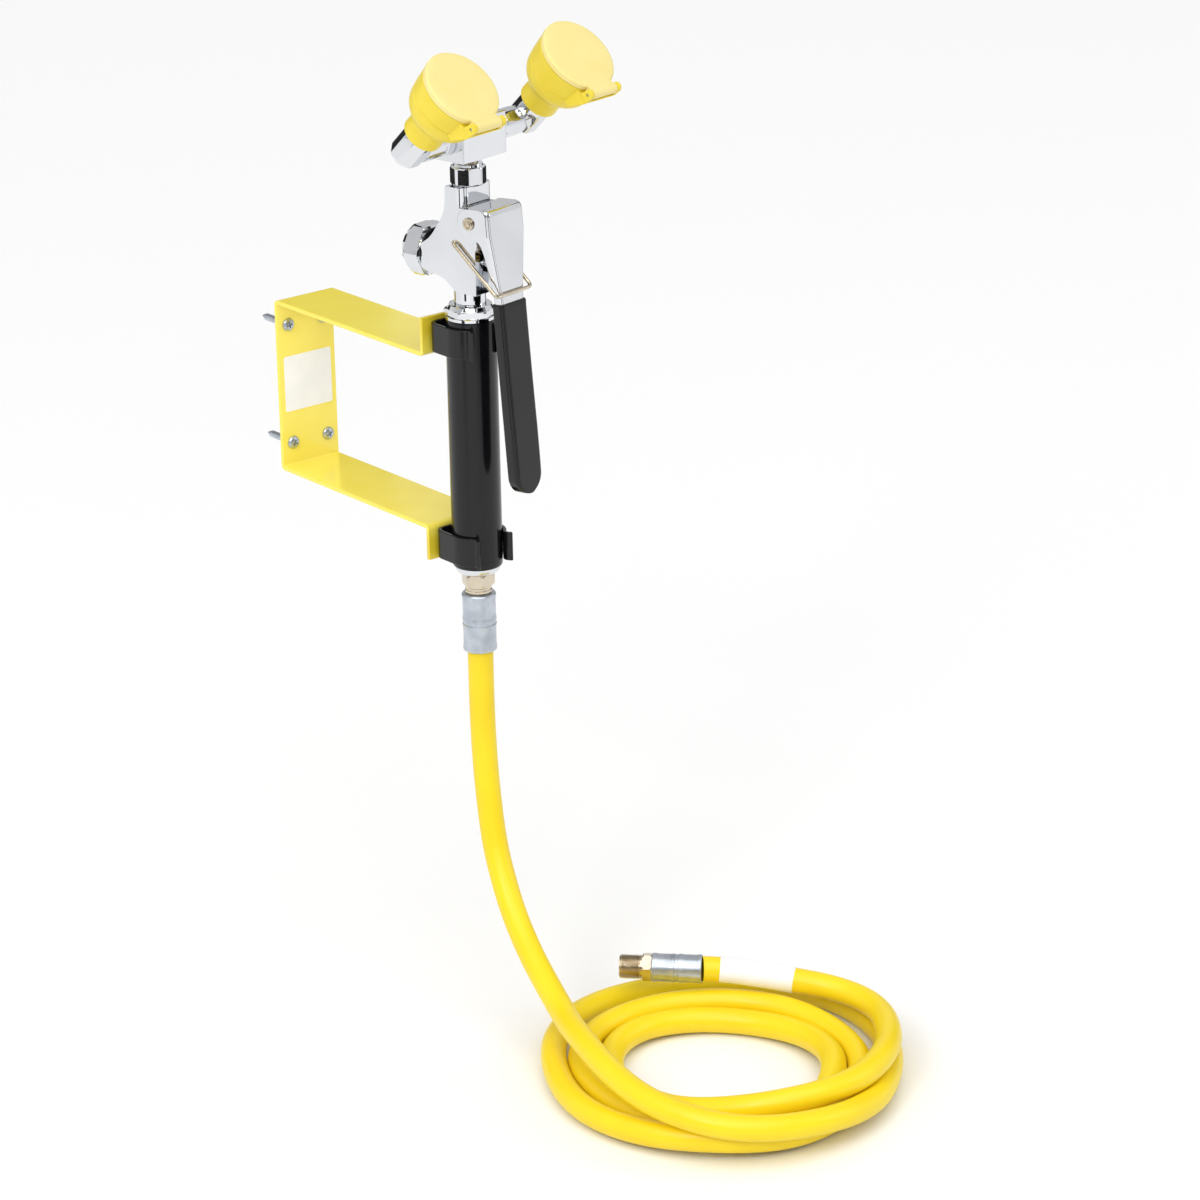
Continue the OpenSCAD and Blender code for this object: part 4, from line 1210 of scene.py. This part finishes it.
@dataclass
class SprayHead:
    """A flared cup with its hinged dust cover."""

    shop: Workshop
    side: Side
    start: float = 18.0
    rim: float = 26.5
    cup_top: float = 65.0
    hinge: Point2 = (-29.1, 67.55)
    barrel: float = 3.4
    knuckle: Point2 = (11.6, 15.2)

    def place(self) -> Matrix:
        """Give the head's axis."""
        return HAND @ shift(self.side.value * HEAD_X, OUTLET_Y, LEG_Z) @ turn(x=45)

    def build(self) -> None:
        """Make the cup and the cover."""
        name = self.side.name.lower()
        cup = self._cup()
        cup.add(self._hinge_base())
        for sign in (-1, 1):
            cup.add(self._knuckle(sign))
        self.shop.piece(f"{name}_cup", cup, Body.HAND, Slot.YELLOW_PLASTIC,
                        [f"{name}_spray_head"], self.place(), 34)
        body = Body.LEFT_COVER if self.side is Side.LEFT else Body.RIGHT_COVER
        self.shop.piece(f"{name}_lid", self._cover(), body, Slot.PALE_PLASTIC,
                        [f"{name}_dust_cover"], self.place(), 34)

    def _cup(self) -> Shape:
        """Turn the cup with its flare and the moulding line round it.

        Returns:
            The cup on its axis.
        """
        s, top, rim = self.start, self.cup_top, self.rim
        flare = flow([(13.35, s + 8), (13.45, s + 11), (14.6, s + 14), (17.6, s + 17.2),
                      (21.2, s + 20.4), (23.6, s + 24.6), (24.7, s + 30)], 4)
        line = top - 14.5
        outside = ([(8, s), (12.8, s), (13.4, s + 0.4), (13.6, s + 1)] + flare
                   + [(24.95, line - 0.5), (24.5, line - 0.1), (24.5, line + 0.3),
                      (25.2, line + 0.7), (rim - 0.25, top - 3), (rim, top - 0.8),
                      (rim - 0.2, top - 0.2), (rim - 0.7, top)])
        inside = [(rim - 1.8, top), (rim - 2.2, top - 0.6), (23.3, 49), (20.7, 46.5), (20.7, 44),
                  (18.6, 44), (17.1, 41.5), (13.6, 38), (9, 32), (9, 29), (8, 29)]
        return Shape().lathe(outside + inside, 96)

    def _hinge_base(self) -> Shape:
        """Mould the smooth swelling under the hinge, hollowed where the cup is.

        Returns:
            The swelling.
        """
        back = flow([(-32.2, 63.4), (-31.2, 60.4), (-28.8, 56.2), (-26.2, 52.2),
                     (-24.2, 48.4)], 4)
        base = Shape().prism(back + [(-19, 48.4), (-19, 63.4)], -self.knuckle[1],
                             self.knuckle[1]).place(ALONG_X).soften(0.9, 3, 40)
        inside = Shape().lathe([(0, 40), (24.8, 40), (24.8, 62), (25.6, 70), (0, 70)], 64)
        return base.combine(inside, "DIFFERENCE")

    def _knuckle(self, sign: int) -> Shape:
        """Mould one hinge knuckle on the swelling.

        Args:
            sign: -1 or 1, along the hinge.

        Returns:
            The knuckle.
        """
        y, z = self.hinge
        outline = (arc((y, z), self.barrel, -12, 200, 16)
                   + [(-32.1, 64.8), (-31.6, 62.2), (-24.4, 62.2), (-24.9, 65.2)])
        web = Shape().prism(outline, 0, self.knuckle[1] - self.knuckle[0]).soften(0.4, 3, 40)
        web.place(ALONG_X)
        low = self.knuckle[0] if sign > 0 else -self.knuckle[1]
        hole = Shape().lathe([(0, -1), (1.2, -1), (1.2, 9), (0, 9)], 24)
        hole.place(shift(-2, y, z) @ turn(y=90))
        web.combine(hole, "DIFFERENCE")
        return web.place(shift(low, 0, 0))

    def _cover(self) -> Shape:
        """Turn the lid, hollow below, and add its hinge barrel and tab.

        Returns:
            The lid on the head's axis.
        """
        low, high, r = self.cup_top + 0.3, self.cup_top + 4.8, self.rim + 0.3
        lid = Shape().lathe([
            (0, high + 0.25), (8, high + 0.22), (16, high + 0.12), (22, high), (25.2, high - 0.2),
            (26.2, high - 0.5), (r, high - 1.2), (r, low + 0.3), (r - 0.3, low), (r - 4.3, low),
            (r - 4.5, low + 0.3), (r - 4.5, high - 1.6), (0, high - 1.5)], 96)
        reach = self.knuckle[0] - 0.3
        y, z = self.hinge
        barrel = Shape().lathe([
            (1.25, -reach), (self.barrel - 0.4, -reach), (self.barrel, -reach + 0.4),
            (self.barrel, reach - 0.4), (self.barrel - 0.4, reach), (1.25, reach)], 40)
        barrel.place(shift(0, y, z) @ turn(y=90))
        tab = Shape().prism([(y + 1.6, z - 1.5), (y + 5.6, z - 1.5), (y + 6.6, z - 0.4),
                             (y + 6.6, z + 1.2), (y + 4.4, z + 1.9), (y + 1.6, z + 2.4)],
                            -reach, reach).soften(0.35, 2)
        return lid.add(barrel).add(tab.place(ALONG_X))


@dataclass
class SqueezeLever:
    """The pressed lever with its dipped handle, and the wire that can hold it down."""

    shop: Workshop
    front: float = 16.5
    top_half: float = 18.0
    low_half: float = 11.5
    length: float = 183.0
    depth: float = 6.0
    sheet: float = 2.0
    coat: float = 1.2
    dip_top: float = -54.0
    lean: float = -4.8
    ear: float = 10.5
    top: float = 9.5

    def place(self) -> Matrix:
        """Give the lever's own frame, with its pivot at the origin."""
        return HAND @ shift(0, *PIVOT) @ turn(x=self.lean)

    def build(self) -> None:
        """Make the pressing, the dipped handle and the wire."""
        self.shop.piece("lever_pressing", self._pressing(), Body.LEVER, Slot.CHROME,
                        ["squeeze_lever"], self.place(), 36)
        self.shop.piece("lever_grip_dip", self._dip(), Body.LEVER, Slot.BLACK_VINYL,
                        ["lever_dip"], self.place(), 40)
        self._bail()

    def half_at(self, z: float) -> float:
        """Give half the lever's width at a height above the pivot."""
        return float(np.interp(z, [-57, -45, -8], [self.low_half, 12.7, self.top_half]))

    def back_at(self, z: float) -> float:
        """Give how far back the cheeks reach at a height above the pivot."""
        if z > -9.6:
            return math.sqrt(max(self.ear**2 - z**2, 0.0))
        return float(np.interp(z, [-54, -40, -28, -20, -15, -13.4, -12.2, -11.2, -10.4, -9.6],
                               [-10.5, -10.1, -9.4, -8.4, -7.2, -6.3, -5.2, -3.6, -1.0, 4.2]))

    @staticmethod
    def _mirrored(side: list[Point3]) -> list[Point3]:
        """Carry one side of a section on to the other side, on the way back."""
        return side + [(-x, y, z) for x, y, z in reversed(side)]

    def _pressing(self) -> Shape:
        """Press the channel: flat front, rolled corners, round ears and a closed top.

        Returns:
            The pressing in the lever's frame.
        """
        heights = [-66, -60, -54, -48, -42, -36, -30, -25, -20, -17, -15, -13.4, -12.2, -11.2,
                   -10.4, -9.6, -8.6, -7.2, -5.4, -2.8, 0, 2.6, 4.8, 6.2, 7.3, 8.2, 8.9, 9.5]
        shell: list[list[list[Point3]]] = [[], []]
        for z in heights:
            ease = max(0.0, z - 5.2) / 4.3
            front = -self.front + 4.2 * (1 - math.sqrt(max(1 - ease**2, 0)))
            for k, inset in ((0, 0.0), (1, self.sheet)):
                half, r = self.half_at(z) - inset, max(3.2 - inset, 1.0)
                y = front + inset
                back = max(self.back_at(max(z, -54)), y + 4.4)
                rim = [(0.0, 0.0)] if k else [(0.9, 0.0), (0.5, 0.1), (0.15, 0.4), (0.0, 0.9)]
                side = [(-half + a, back - b, z) for a, b in rim]
                side += [(-half, back + (y + r - back) * t, z) for t in (0.4, 0.7)]
                side += [(a, b, z) for a, b in arc((-half + r, y + r), r, 180, 270, 6)]
                shell[k].append(self._mirrored(side))
        sections = [outer + inner[::-1] for outer, inner in zip(*shell)]
        channel = Shape().loft(sections)
        lid_back = math.sqrt(self.ear**2 - self.top**2)
        y = -self.front + 4.2
        half = self.top_half - 0.05
        top = Shape().prism([(-half, lid_back - 0.4), (-half, y + 2.4), (-half + 2.4, y + 0.05),
                             (half - 2.4, y + 0.05), (half, y + 2.4), (half, lid_back - 0.4)],
                            7.6, 9.52).soften(0.3, 2, 50)
        return channel.add(top)

    def _dip(self) -> Shape:
        """Draw the dipped handle: a soft channel with a thick lip and a round tip.

        Returns:
            The handle in the lever's frame.
        """
        tip = -self.length + self.low_half
        heights = [self.dip_top, self.dip_top - 0.5, self.dip_top - 1.4, -58, -64, -80, -100,
                   -120, -140, -155, -165] + [
            tip - (self.low_half + self.coat) * math.sin(math.radians(a))
            for a in (0, 12, 24, 36, 47, 57, 66, 74, 81, 86)]
        sections: list[list[Point3]] = []
        for i, z in enumerate(heights):
            swell = -0.9 if i == 0 else -0.25 if i == 1 else 0.0
            half = self.half_at(z) + self.coat + swell
            if z < tip:
                full = self.low_half + self.coat
                half = math.sqrt(max(full**2 - (tip - z) ** 2, 0.4))
            bulge = 0.5 * math.exp(-((z + 150) / 30) ** 2)
            y = -self.front - self.coat - swell - bulge
            back = -self.front + self.depth + self.coat
            r = min(3.0, half * 0.45)
            wall = min(3.4, half * 0.55)
            outer = [(-half + 0.4, back, z), (-half, back - 0.5, z)]
            outer += [(a, b, z) for a, b in arc((-half + r, y + r), r, 180, 270, 7)]
            inner = [(half - wall + 0.4, back, z), (half - wall, back - 0.5, z),
                     (half - wall, y + 4.0, z)]
            sections.append(self._mirrored(outer) + self._mirrored(inner))
        return Shape().loft(sections)

    def _bail(self) -> None:
        """Bend the wire: two ends in the body's cheeks and a loop round the lever."""
        x, r = 17.25, 1.25
        hole, loop = (-1.1, 141.7), (-38.9, 111.0)
        path = rounded_path([(-11, *hole), (-x, *hole), (-x, *loop), (x, *loop), (x, *hole),
                             (11, *hole)], 3.6, 8)
        self.shop.piece("hold_open_wire", Shape().tube(path, r, 20), Body.BAIL, Slot.NICKEL,
                        ["stay_open_bail"], HAND, 60)


def main() -> None:
    """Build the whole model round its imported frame."""
    logging.basicConfig(level=logging.INFO, format="%(name)s %(message)s")
    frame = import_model()
    studio = Studio()
    studio.camera()
    shop = Workshop(frame)
    HoseLine(shop).build()
    studio.floor()
    studio.lights()
    studio.dark_cards()
    bpy.context.scene.view_settings.view_transform = "Standard"
    shop.dress_carried_nodes()
    WallBracket(shop).build()
    Grip(shop).build()
    Valve(shop).build()
    Outlet(shop).build()
    for side in Side:
        SprayHead(shop, side).build()
    SqueezeLever(shop).build()
    bpy.context.view_layer.update()


if __name__ == "__main__":
    main()
